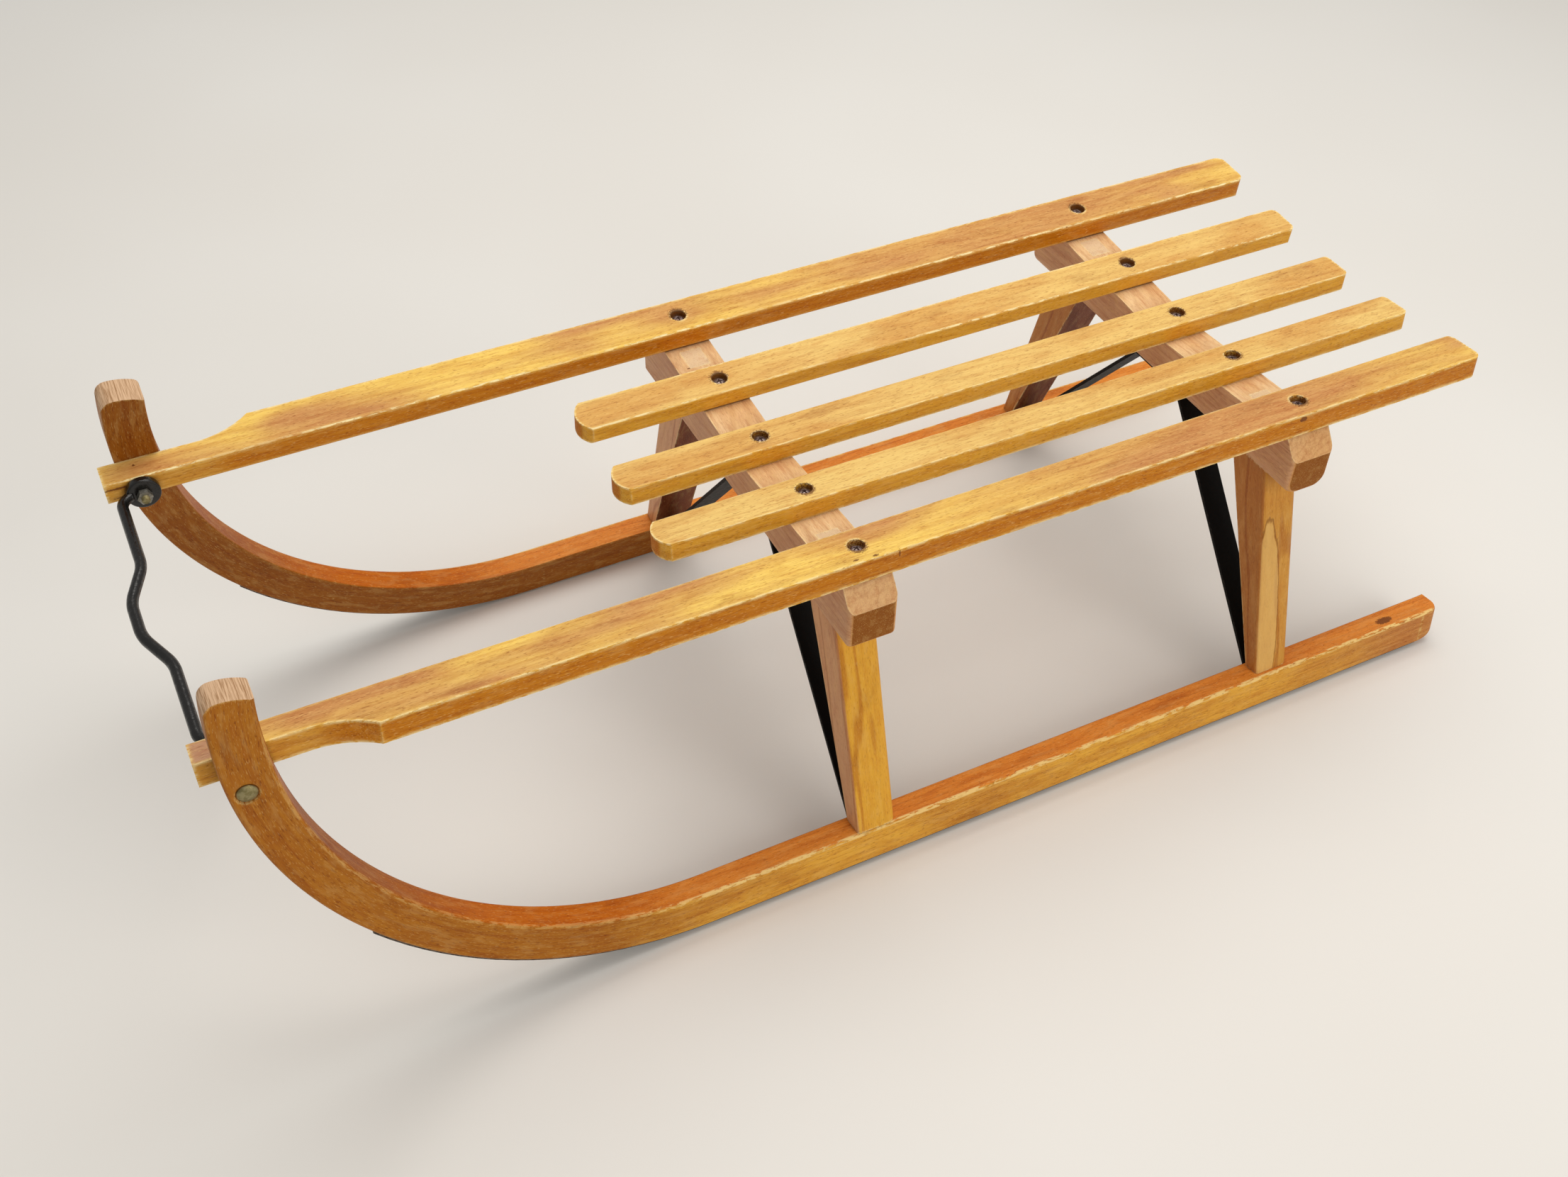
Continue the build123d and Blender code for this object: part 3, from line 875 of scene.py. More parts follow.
@dataclass(frozen=True)
class Paint:
    """Black paint on steel, rubbed through along its edges."""

    name: str
    shade: str = "0f0d0b"
    rubbed: str = "3c352d"
    roughness: float = 0.3
    sheen: float = 0.5
    edge_radius: float = 2.0 * MM
    edge_range: Span = (0.03, 0.2)
    lump_scale: float = 0.25
    lump_rough: float = 0.25
    scuffing: Triple = (0.4, 0.12, 0.4)
    scuff_range: Span = (0.48, 0.62)
    scratch_range: Span = (0.68, 0.76)
    scratch_share: float = 0.7

    def material(self) -> bpy.types.Material:
        """Builds the finish.

        Returns:
            The material.
        """
        sheet = Sheet(self.name)
        place = sheet.millimetres(sheet.place())
        lumps = sheet.noise(place, self.lump_scale, 3.0)
        scuffs = sheet.noise(sheet.stretch(place, self.scuffing), 1.0, 4.0, 0.7)
        edge = sheet.band(sheet.edge(self.edge_radius), *self.edge_range)
        rubbed = sheet.product(edge, sheet.band(scuffs, *self.scuff_range))
        scratches = sheet.band(scuffs, *self.scratch_range, 0.0, self.scratch_share)
        worn = sheet.calc("MAXIMUM", rubbed, scratches)
        rough = sheet.calc("MULTIPLY_ADD", lumps, self.lump_rough, self.roughness - SMOOTHER)
        sheet.paint(sheet.blend(worn, colour(self.shade), colour(self.rubbed)), rough)
        sheet.shader.inputs["Specular IOR Level"].default_value = self.sheen
        sheet.relief((lumps, 0.4 * MM), (scuffs, 0.1 * MM))
        return sheet.material


def stepped(start: Triple, step: Triple, number: int) -> Triple:
    """Moves a place by a whole number of steps.

    Args:
        start: The first place.
        step: One step.
        number: How many steps are taken.

    Returns:
        The place reached.
    """
    return tuple(first + number * each for first, each in zip(start, step))


def mesh_piece(
    name: str, points: np.ndarray, faces: list, grain: np.ndarray | None = None
) -> bpy.types.Object:
    """Makes a smooth-shaded mesh object at the origin.

    Args:
        name: The piece's name.
        points: Vertex places, one row each.
        faces: Lists of vertex numbers, one per face.
        grain: Each vertex's place in the grain's axes, in metres.

    Returns:
        The new object.
    """
    mesh = bpy.data.meshes.new(name)
    mesh.from_pydata(points.tolist(), [], faces)
    if grain is not None:
        attribute = mesh.attributes.new("grain", "FLOAT_VECTOR", "POINT")
        attribute.data.foreach_set("vector", grain.astype(np.float32).ravel())
    mesh.polygons.foreach_set("use_smooth", np.ones(len(mesh.polygons), bool))
    mesh.validate()
    mesh.update()
    piece = bpy.data.objects.new(name, mesh)
    bpy.context.scene.collection.objects.link(piece)
    return piece


def grid_faces(rows: int, columns: int, closed: bool) -> np.ndarray:
    """Numbers the quads of a grid whose vertices are counted row by row.

    Args:
        rows: Vertices along the first parameter.
        columns: Vertices along the second parameter.
        closed: Whether the last column joins the first.

    Returns:
        One row of four vertex numbers per quad.
    """
    spans = columns if closed else columns - 1
    row, column = np.meshgrid(np.arange(rows - 1), np.arange(spans), indexing="ij")
    after = (column + 1) % columns
    here, above = row * columns, (row + 1) * columns
    quads = (here + column, here + after, above + after, above + column)
    return np.stack(quads, -1).reshape(-1, 4)


def end_faces(rows: int, columns: int) -> list[list[int]]:
    """Numbers the two faces that close a grid of rings, looking the way that its quads do.

    Args:
        rows: How many rings there are.
        columns: Vertices in each ring.

    Returns:
        The first ring turned back, and the last ring.
    """
    last = (rows - 1) * columns
    return [list(range(columns))[::-1], list(range(last, last + columns))]


def turned(profile: np.ndarray, place: AxisPlace, side: Side, around: int) -> np.ndarray:
    """Turns a profile round an axis that runs along Y.

    A vertex lies at the place plus its radius times (cos a, sin a) in X and Z, for even
    angles a, and its Y is the profile's distance times the side's sign.

    Args:
        profile: Rows of a radius and a distance from the sled's middle.
        place: The axis's X and Z.
        side: The sled's side that the piece is on.
        around: Vertices round the axis.

    Returns:
        The vertices, one ring for each row of the profile.
    """
    turn = np.linspace(0, 2 * np.pi, around, endpoint=False)
    x = place[0] + profile[:, :1] * np.cos(turn)
    z = place[1] + profile[:, :1] * np.sin(turn)
    y = profile[:, 1:] * np.ones_like(x) * side.value
    return np.stack((x, y, z), -1).reshape(-1, 3)


@dataclass
class Seat:
    """The two rails and three slats: CAD nodes dressed in the brightest, most handled wood."""

    nodes: dict[str, bpy.types.Object]
    rails: tuple[str, ...] = ("rail_left", "rail_right")
    slats: tuple[str, ...] = ("slat_left", "slat_centre", "slat_right")
    offsets: tuple[float, ...] = (156.35, -156.35, 75.6, 0.0, -75.6)
    screw_stations: tuple[float, ...] = (52.8, -339.2)
    hole_level: float = 285.0
    # Half sizes of the painted shade in each counterbore, wide enough to cover its rim.
    hole_shade_reach: Triple = (7.8, 7.8, 400.0)
    rail_figure: Steps = ((211.0, 0.0, 0.0), (330.0, 47.0, 13.0))
    slat_figure: Steps = ((55.0, 0.0, 0.0), (170.0, 61.0, 29.0))
    bare_tips: tuple[float, ...] = (497.0, 900.0)
    left_marks: tuple[Mark, ...] = (
        ((46.0, 171.5, 292.0), (3.0, 1.5, 2.0)),
        ((28.0, 173.0, 289.5), (1.2, 1.5, 4.0)),
        ((61.0, 170.0, 292.5), (2.4, 1.0, 1.5)),
        ((-330.0, 173.5, 289.5), (4.0, 2.0, 2.5)),
        ((-430.0, 172.5, 290.0), (2.0, 1.2, 1.6)),
    )
    right_marks: tuple[Mark, ...] = (
        ((505.0, -137.5, 285.0), (16.0, 2.0, 1.3)),
        ((500.0, -137.5, 276.0), (12.0, 2.0, 1.0)),
        ((492.0, -150.0, 292.0), (1.2, 1.2, 3.0)),
    )

    def hole_shades(self, number: int) -> tuple[Mark, ...]:
        """Places the painted shade in one bar's two counterbores: dark marks over their insides and rims.

        Args:
            number: The bar's place in the list of rails and slats.

        Returns:
            Marks as pairs of a middle and half sizes, in millimetres.
        """
        middles = ((station, self.offsets[number], self.hole_level) for station in self.screw_stations)
        return tuple((middle, self.hole_shade_reach) for middle in middles)

    def dress(self) -> list[str]:
        """Gives each bar its own length of figure, and the rails redder sides and paler arrises.

        Only the left rail has a bare tip: the right one's would start beyond the sled.

        Returns:
            The names of the dressed nodes.
        """
        for number, name in enumerate(self.rails):
            wood = Wood(
                f"seat_wood_{name}",
                Grain.ALONG_X,
                shift=stepped(*self.rail_figure, number),
                top="f8d26a",
                aged="d0965a",
                side="cc8016",
                arris_share=1.0,
                arris_reach=5.0,
                wear_share=0.85,
                aft_share=0.95,
                fore_start=420.0,
                bare_start=self.bare_tips[number],
                # Marks: painted shade in the counterbores, then the rail's own dark marks.
                marks=self.hole_shades(number) + (self.right_marks if number else self.left_marks),
            )
            dress_node(self.nodes[name], wood.material())
        for number, name in enumerate(self.slats):
            wood = Wood(
                f"seat_wood_{name}",
                Grain.ALONG_X,
                shift=stepped(*self.slat_figure, number),
                top="f0cc7a",
                aged="dfac5e",
                streak_share=0.2,
                side="e4aa36",
                end="c8781a",
                arris_share=0.9,
                arris_reach=4.0,
                wear_share=0.9,
                aft_share=0.3,
                # Marks: painted shade in the counterbores.
                marks=self.hole_shades(number + len(self.rails)),
            )
            dress_node(self.nodes[name], wood.material())
        return list(self.rails + self.slats)


@dataclass
class Trestles:
    """Cross members and legs, less varnished than the seat, with their flat steel braces."""

    nodes: dict[str, bpy.types.Object]
    members: tuple[str, ...] = ("cross_member_front", "cross_member_rear")
    legs: tuple[str, ...] = ("leg_front_left", "leg_front_right", "leg_rear_left", "leg_rear_right")
    braces: tuple[str, ...] = ("brace_front", "brace_rear")
    leg_splay: float = np.radians(17.0)
    member_figure: Steps = ((0.0, 31.0, 7.0), (90.0, 0.0, 0.0))
    leg_figure: Steps = ((0.0, 0.0, 5.0), (170.0, 23.0, 0.0))
    member_marks: tuple[Mark, ...] = (
        ((50.0, 116.0, 270.5), (7.0, 1.0, 2.0)),
        ((60.0, -112.0, 270.0), (5.0, 0.8, 2.0)),
    )
    leg_ovals: tuple[Mark, ...] = (((-331.0, 205.0, 88.0), (13.5, 300.0, 92.0)),)

    def dress(self) -> list[str]:
        """Gives the members, legs and braces their finishes.

        Returns:
            The names of the dressed nodes.
        """
        for number, name in enumerate(self.members):
            wood = Wood(
                f"member_wood_{name}",
                Grain.ALONG_Y,
                shift=stepped(*self.member_figure, number),
                top="eecb9a",
                aged="e4b884",
                top_level=0.42,
                side="d49a5c",
                front="d8a87e",
                end="92561a",
                fleck_share=0.25,
                stain_share=0.3,
                marks=self.member_marks if number == 0 else (),
            )
            dress_node(self.nodes[name], wood.material())
        for number, name in enumerate(self.legs):
            side = -1 if name.endswith("left") else 1
            rear = "rear" in name
            wood = Wood(
                f"leg_wood_{name}",
                Grain.ALONG_Z,
                shift=stepped(*self.leg_figure, number),
                turn=(side * self.leg_splay, 0.0, 0.0),
                top="e4a43a",
                aged="d89a34",
                side="d29640" if rear else "eaae3a",
                # The rear legs' darker front colour is painted shade under the members.
                front="bc7c3c" if rear else "dca676",
                # Painted shade on the faces that look inward, towards the other leg.
                inside="84482a",
                inside_sign=side,
                end="e6c8a0",
                ring_share=0.45,
                ring_start=0.8,
                ring_pitch=22.0,
                streak_share=0.12,
                fibre_share=0.22,
                fleck_share=0.3,
                ray_share=0.15,
                ovals=self.leg_ovals if name == "leg_rear_left" else (),
            )
            dress_node(self.nodes[name], wood.material())
        for name in self.braces:
            dress_node(self.nodes[name], Paint(f"paint_{name}", roughness=0.5, sheen=0.08).material())
        return list(self.members + self.legs + self.braces)


@dataclass
class Runner:
    """One bent runner: an eased bar carried along a straight sole, two arcs and a short horn."""

    side: Side
    tail_x: float = -526.2 * MM
    straight: float = 720.0 * MM
    lower_radius: float = 312.0 * MM
    lower_angle: float = np.radians(68.5)
    upper_radius: float = 294.0 * MM
    upper_angle: float = np.radians(30.1)
    height: float = 32.5 * MM
    width: float = 23.0 * MM
    half_track: float = 216.5 * MM
    lean: float = np.radians(7.1)
    lift: float = 4.52 * MM
    corners: tuple[float, ...] = (1.6 * MM, 1.6 * MM, 2.2 * MM, 3.4 * MM)
    heel: float = 18.0 * MM
    tail_corner: float = 9.0 * MM
    horn_taper: float = 2.0 * MM
    taper_length: float = 46.2 * MM
    crown_rise: float = 3.1 * MM
    crown_front: float = 7.0 * MM
    crown_depth: float = 20.0 * MM
    bolt: AxisPlace = (491.2 * MM, 279.0 * MM)
    bolt_run: float = 1172.8 * MM
    spot_radius: float = 7.3 * MM
    spot_edge: float = 0.7 * MM
    spot_sink: float = 0.4 * MM
    stations: int = 360
    spot_stations: int = 40
    corner_steps: int = 5
    even_steps: int = 96
    cap_steps: int = 12
    cap_turn: float = 0.99 * np.pi / 2
    figure: Steps = ((0.0, 19.0, 5.0), (400.0, 0.0, 0.0))
    tail_spot: Mark = ((-470.0, 203.0, 35.0), (9.0, 4.0, 5.0))

    def path(self, run: np.ndarray) -> tuple[np.ndarray, np.ndarray, np.ndarray]:
        """Follows the sole: straight, then the lower arc, then the upper arc.

        Each arc's point is its centre plus its radius times (sin, -cos) of the turned angle.

        Args:
            run: Distances from the tail.

        Returns:
            X, height above the straight sole, and the turned angle.
        """
        low_turn = np.clip((run - self.straight) / self.lower_radius, 0, self.lower_angle)
        low_end = self.straight + self.lower_radius * self.lower_angle
        high_turn = np.maximum((run - low_end) / self.upper_radius, 0)
        turn = low_turn + high_turn
        step = self.lower_radius - self.upper_radius
        flat = np.minimum(run, self.straight)
        bend_x = self.tail_x + self.straight
        on_high = high_turn > 0
        centre_x = np.where(on_high, bend_x + step * np.sin(self.lower_angle), bend_x)
        centre_h = np.where(on_high, self.lower_radius - step * np.cos(self.lower_angle), self.lower_radius)
        radius = np.where(on_high, self.upper_radius, self.lower_radius)
        x = np.where(turn > 0, centre_x + radius * np.sin(turn), self.tail_x + flat)
        height = np.where(turn > 0, centre_h - radius * np.cos(turn), 0)
        return x, height, turn

    def outline(self) -> np.ndarray:
        """Gives the bar's section, running round it once.

        Each corner is a quarter circle: its centre plus its own radius times (cos, sin) of
        the angle. The loop is then read again at even steps, so that flat sides have points too.

        Returns:
            Rows of two shares, up from the sole and in from the outer face.
        """
        size = np.array((self.height, self.width))
        corner = np.arange(4)[:, None]
        radius = np.array(self.corners)[:, None, None]
        angle = (corner + np.linspace(0, 1, self.corner_steps)) * np.pi / 2
        middle = (corner + 0.5) * np.pi / 2
        signs = np.sign(np.stack((np.cos(middle), np.sin(middle)), -1))
        around = np.stack((np.cos(angle), np.sin(angle)), -1)
        loop = (size / 2 + signs * (size / 2 - radius) + radius * around).reshape(-1, 2)
        loop = np.vstack((loop, loop[:1]))
        reach = np.concatenate(((0,), np.cumsum(np.linalg.norm(np.diff(loop, axis=0), axis=1))))
        even = np.linspace(0, reach[-1], self.even_steps, endpoint=False)
        marks = np.unique(np.concatenate((reach[:-1], even)).round(6))
        places = np.stack([np.interp(marks, reach, loop[:, axis]) for axis in (0, 1)], 1)
        return places / size

    def crown(self, up: np.ndarray, length: float) -> np.ndarray:
        """Gives how far the horn reaches at each height through its thickness.

        A parabola rises over the thickness, and the front corner falls away along a quarter
        circle: length + rise (1 - (2s - 1)^2) - (r - sqrt(r^2 - (r - up)^2)).

        Args:
            up: Heights above the sole.
            length: The run at the horn's rear corner.

        Returns:
            The run of the horn's top at those heights.
        """
        share = up / (self.height - self.horn_taper)
        front = np.clip(self.crown_front - up, 0, self.crown_front)
        fall = self.crown_front - np.sqrt(self.crown_front**2 - front**2)
        return length + self.crown_rise * (1 - (2 * share - 1) ** 2) - fall

    def bury(self, points: np.ndarray, inward: np.ndarray) -> np.ndarray:
        """Presses the coach bolt's seat into the outer face.

        Points of the outer face within the seat's radius of the bolt are laid flat at the
        depth of the seat's highest point, with a soft rim.

        Args:
            points: The left runner's vertices.
            inward: Their depths from the outer face.

        Returns:
            The vertices with the seat pressed in.
        """
        high = (self.bolt[1] + self.spot_radius - self.lift) / np.cos(self.lean)
        seat = self.half_track - high * np.sin(self.lean) - self.spot_sink
        away = np.hypot(points[..., 0] - self.bolt[0], points[..., 2] - self.bolt[1])
        share = np.clip((self.spot_radius + self.spot_edge - away) / self.spot_edge, 0, 1)
        share = share**2 * (3 - 2 * share) * (inward < self.corners[-1])
        points[..., 1] -= np.maximum(points[..., 1] - seat, 0) * share
        return points

    def build(self) -> bpy.types.Object:
        """Builds the runner with its grain carried along the bend.

        A ring of the section stands at every station. Towards the tail the ring's low and
        outer sides draw in along quarter circles, for the heel and the rounded corner, and
        towards the horn its rear side draws in evenly. The horn's last rings follow its
        crowned top, which is closed by the same ring shrinking to the middle.

        Returns:
            The piece's object, at the origin.
        """
        shares = self.outline()
        bend = self.lower_radius * self.lower_angle + self.upper_radius * self.upper_angle
        length = self.straight + bend
        start = self.heel * (1 - np.cos(np.linspace(0, np.pi / 2, self.cap_steps)))
        spot_reach = self.spot_radius + 2 * self.spot_edge
        spot = self.bolt_run + np.linspace(-1, 1, self.spot_stations) * spot_reach
        neck = length - self.crown_depth
        body = np.linspace(self.heel, neck, self.stations)
        run = np.unique(np.concatenate((start, body, spot)))[:, None]
        low = self.heel - np.sqrt(self.heel**2 - np.clip(self.heel - run, 0, self.heel) ** 2)
        corner = np.clip(self.tail_corner - run, 0, self.tail_corner)
        outer = self.tail_corner - np.sqrt(self.tail_corner**2 - corner**2)
        taper = self.horn_taper * np.clip((run - length + self.taper_length) / self.taper_length, 0, 1)
        up = low + shares[None, :, 0] * (self.height - low - taper)
        inward = outer + shares[None, :, 1] * (self.width - outer)
        run = run * np.ones_like(up)

        rise = np.linspace(0, 1, self.cap_steps)[1:, None]
        tapered = self.horn_taper * (1 - self.crown_depth / self.taper_length * (1 - rise))
        rim_up = shares[None, :, 0] * (self.height - tapered)
        rim_in = shares[None, :, 1] * self.width * np.ones_like(rim_up)
        rim_run = neck + rise * (self.crown(rim_up, length) - neck)
        shrink = np.cos(np.linspace(0, self.cap_turn, self.cap_steps))[:, None]
        middle = (self.height - self.horn_taper) / 2
        cap_up = middle + (rim_up[-1:] - middle) * shrink
        cap_in = self.width / 2 + (rim_in[-1:] - self.width / 2) * shrink
        cap_run = self.crown(cap_up, length)
        up = np.vstack((up, rim_up, cap_up))
        inward = np.vstack((inward, rim_in, cap_in))
        run = np.vstack((run, rim_run, cap_run))

        x, height, turn = self.path(run)
        x = x - up * np.sin(turn)
        height = height + up * np.cos(turn)
        cos, sin = np.cos(self.lean), np.sin(self.lean)
        y = self.half_track - height * sin - inward * cos
        z = self.lift + height * cos - inward * sin
        points = self.bury(np.stack((x, y, z), -1), inward)
        points[..., 1] *= self.side.value
        grain = np.stack((run, up, inward * self.side.value), -1)

        rows, columns = up.shape
        rim_row = rows - self.cap_steps
        quads = grid_faces(rows, columns, closed=True)
        quads = np.delete(quads, slice((rim_row - 1) * columns, rim_row * columns), axis=0)
        faces = [face[:: self.side.value] for face in quads.tolist() + end_faces(rows, columns)]
        name = f"bent_runner_{self.side.name.lower()}"
        piece = mesh_piece(name, points.reshape(-1, 3), faces, grain.reshape(-1, 3))
        marks = np.zeros(len(faces), np.int32)
        marks[(rim_row - 1) * columns : -2] = 1
        marks[-1] = 1
        piece.data.polygons.foreach_set("material_index", marks)
        return piece

    def dress(self, piece: bpy.types.Object) -> None:
        """Gives the runner its oiled outside and its bare sawn top.

        Args:
            piece: The built runner.
        """
        wood = BentWood(
            f"runner_wood_{self.side.name.lower()}",
            Grain.CARRIED,
            shift=stepped(*self.figure, self.side.value),
            top="ebb040",
            aged="d69636",
            pale="f4cf84",
            ring_pitch=6.0,
            streak_share=0.35,
            ray_share=0.22,
            wear_share=0.5,
            marks=(self.tail_spot,) if self.side is Side.LEFT else (),
        )
        piece.data.materials.append(wood.material())
        piece.data.materials.append(EndGrain(f"horn_end_grain_{self.side.name.lower()}").material())
        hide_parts(f"runner_{self.side.name.lower()}")
        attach(piece, "sled")


@dataclass
class CoachBolts:
    """Two coach bolts with low domed heads, pressed into the runners' outer faces."""

    place: AxisPlace = (491.2 * MM, 279.0 * MM)
    seat: float = 180.9 * MM
    end: float = 121.6 * MM
    head_radius: float = 6.9 * MM
    head_height: float = 3.4 * MM
    rim_height: float = 0.7 * MM
    shank_radius: float = 3.0 * MM
    tip_radius: float = 0.3 * MM
    dome_start: float = 0.02
    dome_steps: int = 20
    around: int = 72

    def build(self, side: Side) -> bpy.types.Object:
        """Turns one bolt: its profile carried round the bolt's axis.

        The head's profile is rim + (height - rim) cos(a) over radius sin(a), a quarter
        ellipse standing on a short rim, and the shank is a plain cylinder.

        Args:
            side: The sled's side that it is on.

        Returns:
            The piece's object, at the origin.
        """
        angle = np.linspace(self.dome_start, np.pi / 2, self.dome_steps)
        rise = self.rim_height + (self.head_height - self.rim_height) * np.cos(angle)
        dome = np.stack((self.head_radius * np.sin(angle), self.seat + rise), -1)
        below = (
            (self.head_radius, self.seat),
            (self.shank_radius, self.seat),
            (self.shank_radius, self.end),
            (self.tip_radius, self.end),
        )
        profile = np.vstack((dome, below))
        faces = grid_faces(len(profile), self.around, closed=True).tolist()
        faces = [face[:: side.value] for face in faces + end_faces(len(profile), self.around)]
        points = turned(profile, self.place, side, self.around)
        return mesh_piece(f"domed_bolt_{side.name.lower()}", points, faces)

    def dress(self, piece: bpy.types.Object, side: Side) -> None:
        """Gives a bolt its dull yellowed plating.

        Args:
            piece: The built bolt.
            side: The sled's side that it is on.
        """
        name = f"bolt_plating_{side.name.lower()}"
        finish = Metal(name, "9a8f68", "83784f", rust_share=0.08, roughness=0.38)
        piece.data.materials.append(finish.material())
        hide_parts(f"coach_bolt_{side.name.lower()}")
        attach(piece, "sled")


@dataclass
class PullBar:
    """The pull bar: one round rod with soft bends, joined to a flat ring eye at each end."""

    place: AxisPlace = (491.2 * MM, 279.0 * MM)
    eye_outer: float = 135.63 * MM
    eye_inner: float = 129.63 * MM
    eye_radius: float = 12.5 * MM
    eye_round: float = 1.2 * MM
    bore: float = 3.1 * MM
    bore_round: float = 0.5 * MM
    rod_radius: float = 4.0 * MM
    root_reach: float = 4.0 * MM
    reach: float = 17.0 * MM
    kink_reach: float = 30.98 * MM
    kink_start: float = 52.0 * MM
    kink_end: float = 18.0 * MM
    nut_room: float = 7.6 * MM
    root_bend: float = 12.0 * MM
    outer_bend: float = 40.0 * MM
    inner_bend: float = 45.0 * MM
    bend_steps: int = 18
    round_steps: int = 5
    around: int = 40

    def route(self) -> np.ndarray:
        """Lays the rod's centre line, seen from above: straight legs joined by arcs.

        At a corner where the direction turns by t, an arc of radius r starts r tan(t / 2)
        before it. Its points are a spherical blend of the arrows from the arc's centre to
        its two ends: (sin((1 - s) t) first + sin(s t) last) / sin(t), for s from 0 to 1.

        Returns:
            One row per point: how far it is ahead of the bolts, and its Y.
        """
        root = self.eye_outer - self.rod_radius
        half = np.array(
            (
                (self.root_reach, root),
                (self.reach, root),
                (self.reach, self.kink_start),
                (self.kink_reach, self.kink_end),
            )
        )
        points = np.vstack((half, half[::-1] * (1, -1)))
        bends = (self.root_bend, self.outer_bend, self.inner_bend)
        share = np.linspace(0, 1, self.bend_steps)[:, None]
        line = []
        corners = zip(points, points[1:], points[2:], bends + bends[::-1])
        for before, corner, after, bend in corners:
            come = (corner - before) / np.linalg.norm(corner - before)
            leave = (after - corner) / np.linalg.norm(after - corner)
            turn = np.arccos(come @ leave)
            inward = (leave - come) / np.linalg.norm(leave - come)
            centre = corner + inward * bend / np.cos(turn / 2)
            first = corner - come * bend * np.tan(turn / 2) - centre
            last = corner + leave * bend * np.tan(turn / 2) - centre
            arrow = np.sin((1 - share) * turn) * first + np.sin(share * turn) * last
            line.append(centre + arrow / np.sin(turn))
        line = np.vstack(line)
        return line[line[:, 0] > self.nut_room]

    def eye(self, side: Side) -> tuple[np.ndarray, np.ndarray]:
        """Turns one ring: a profile with a rounded rim and bore, carried round the bolt.

        Args:
            side: The sled's side that it is on.

        Returns:
            The ring's vertices and quads.
        """
        angle = np.linspace(0, np.pi / 2, self.round_steps)
        rise, fall = np.sin(angle), np.cos(angle)
        rim = self.eye_radius - self.eye_round
        mouth = self.bore + self.bore_round
        outer, inner = self.eye_outer, self.eye_inner
        quarters = (
            (rim + self.eye_round * rise, outer - self.eye_round * (1 - fall)),
            (rim + self.eye_round * fall, inner + self.eye_round * (1 - rise)),
            (mouth - self.bore_round * rise, inner + self.bore_round * (1 - fall)),
            (mouth - self.bore_round * fall, outer - self.bore_round * (1 - rise)),
        )
        profile = np.vstack([np.stack(quarter, -1) for quarter in quarters])
        ring = turned(profile, self.place, side, self.around)
        quads = grid_faces(len(profile) + 1, self.around, closed=True)[:, :: side.value]
        return ring, quads % len(ring)

    def build(self) -> bpy.types.Object:
        """Sweeps a circle along the route and adds the two rings.

        A vertex lies at centre + r (cos a across + sin a up), where across is the route's
        direction turned left.

        Returns:
            The piece's object, at the origin.
        """
        route = self.route()
        ahead = np.gradient(route, axis=0)
        ahead /= np.linalg.norm(ahead, axis=1, keepdims=True)
        angle = np.linspace(0, 2 * np.pi, self.around, endpoint=False)
        across = np.stack((-ahead[:, 1], ahead[:, 0]), -1)
        flat = route[:, None] + self.rod_radius * np.cos(angle)[None, :, None] * across[:, None]
        up = np.broadcast_to(self.rod_radius * np.sin(angle), flat.shape[:2])
        points = np.stack((self.place[0] + flat[..., 0], flat[..., 1], self.place[1] + up), -1)
        points = points.reshape(-1, 3)
        faces = grid_faces(len(route), self.around, closed=True).tolist()
        faces += end_faces(len(route), self.around)
        for side in Side:
            ring, quads = self.eye(side)
            faces += (quads + len(points)).tolist()
            points = np.vstack((points, ring))
        return mesh_piece("soft_bent_pull_bar", points, faces)

    def dress(self, piece: bpy.types.Object) -> None:
        """Gives the bar its glossy black paint.

        Args:
            piece: The built bar.
        """
        piece.data.materials.append(Paint("pull_bar_paint", roughness=0.22).material())
        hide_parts("pull_bar")
        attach(piece, "pull_bar")


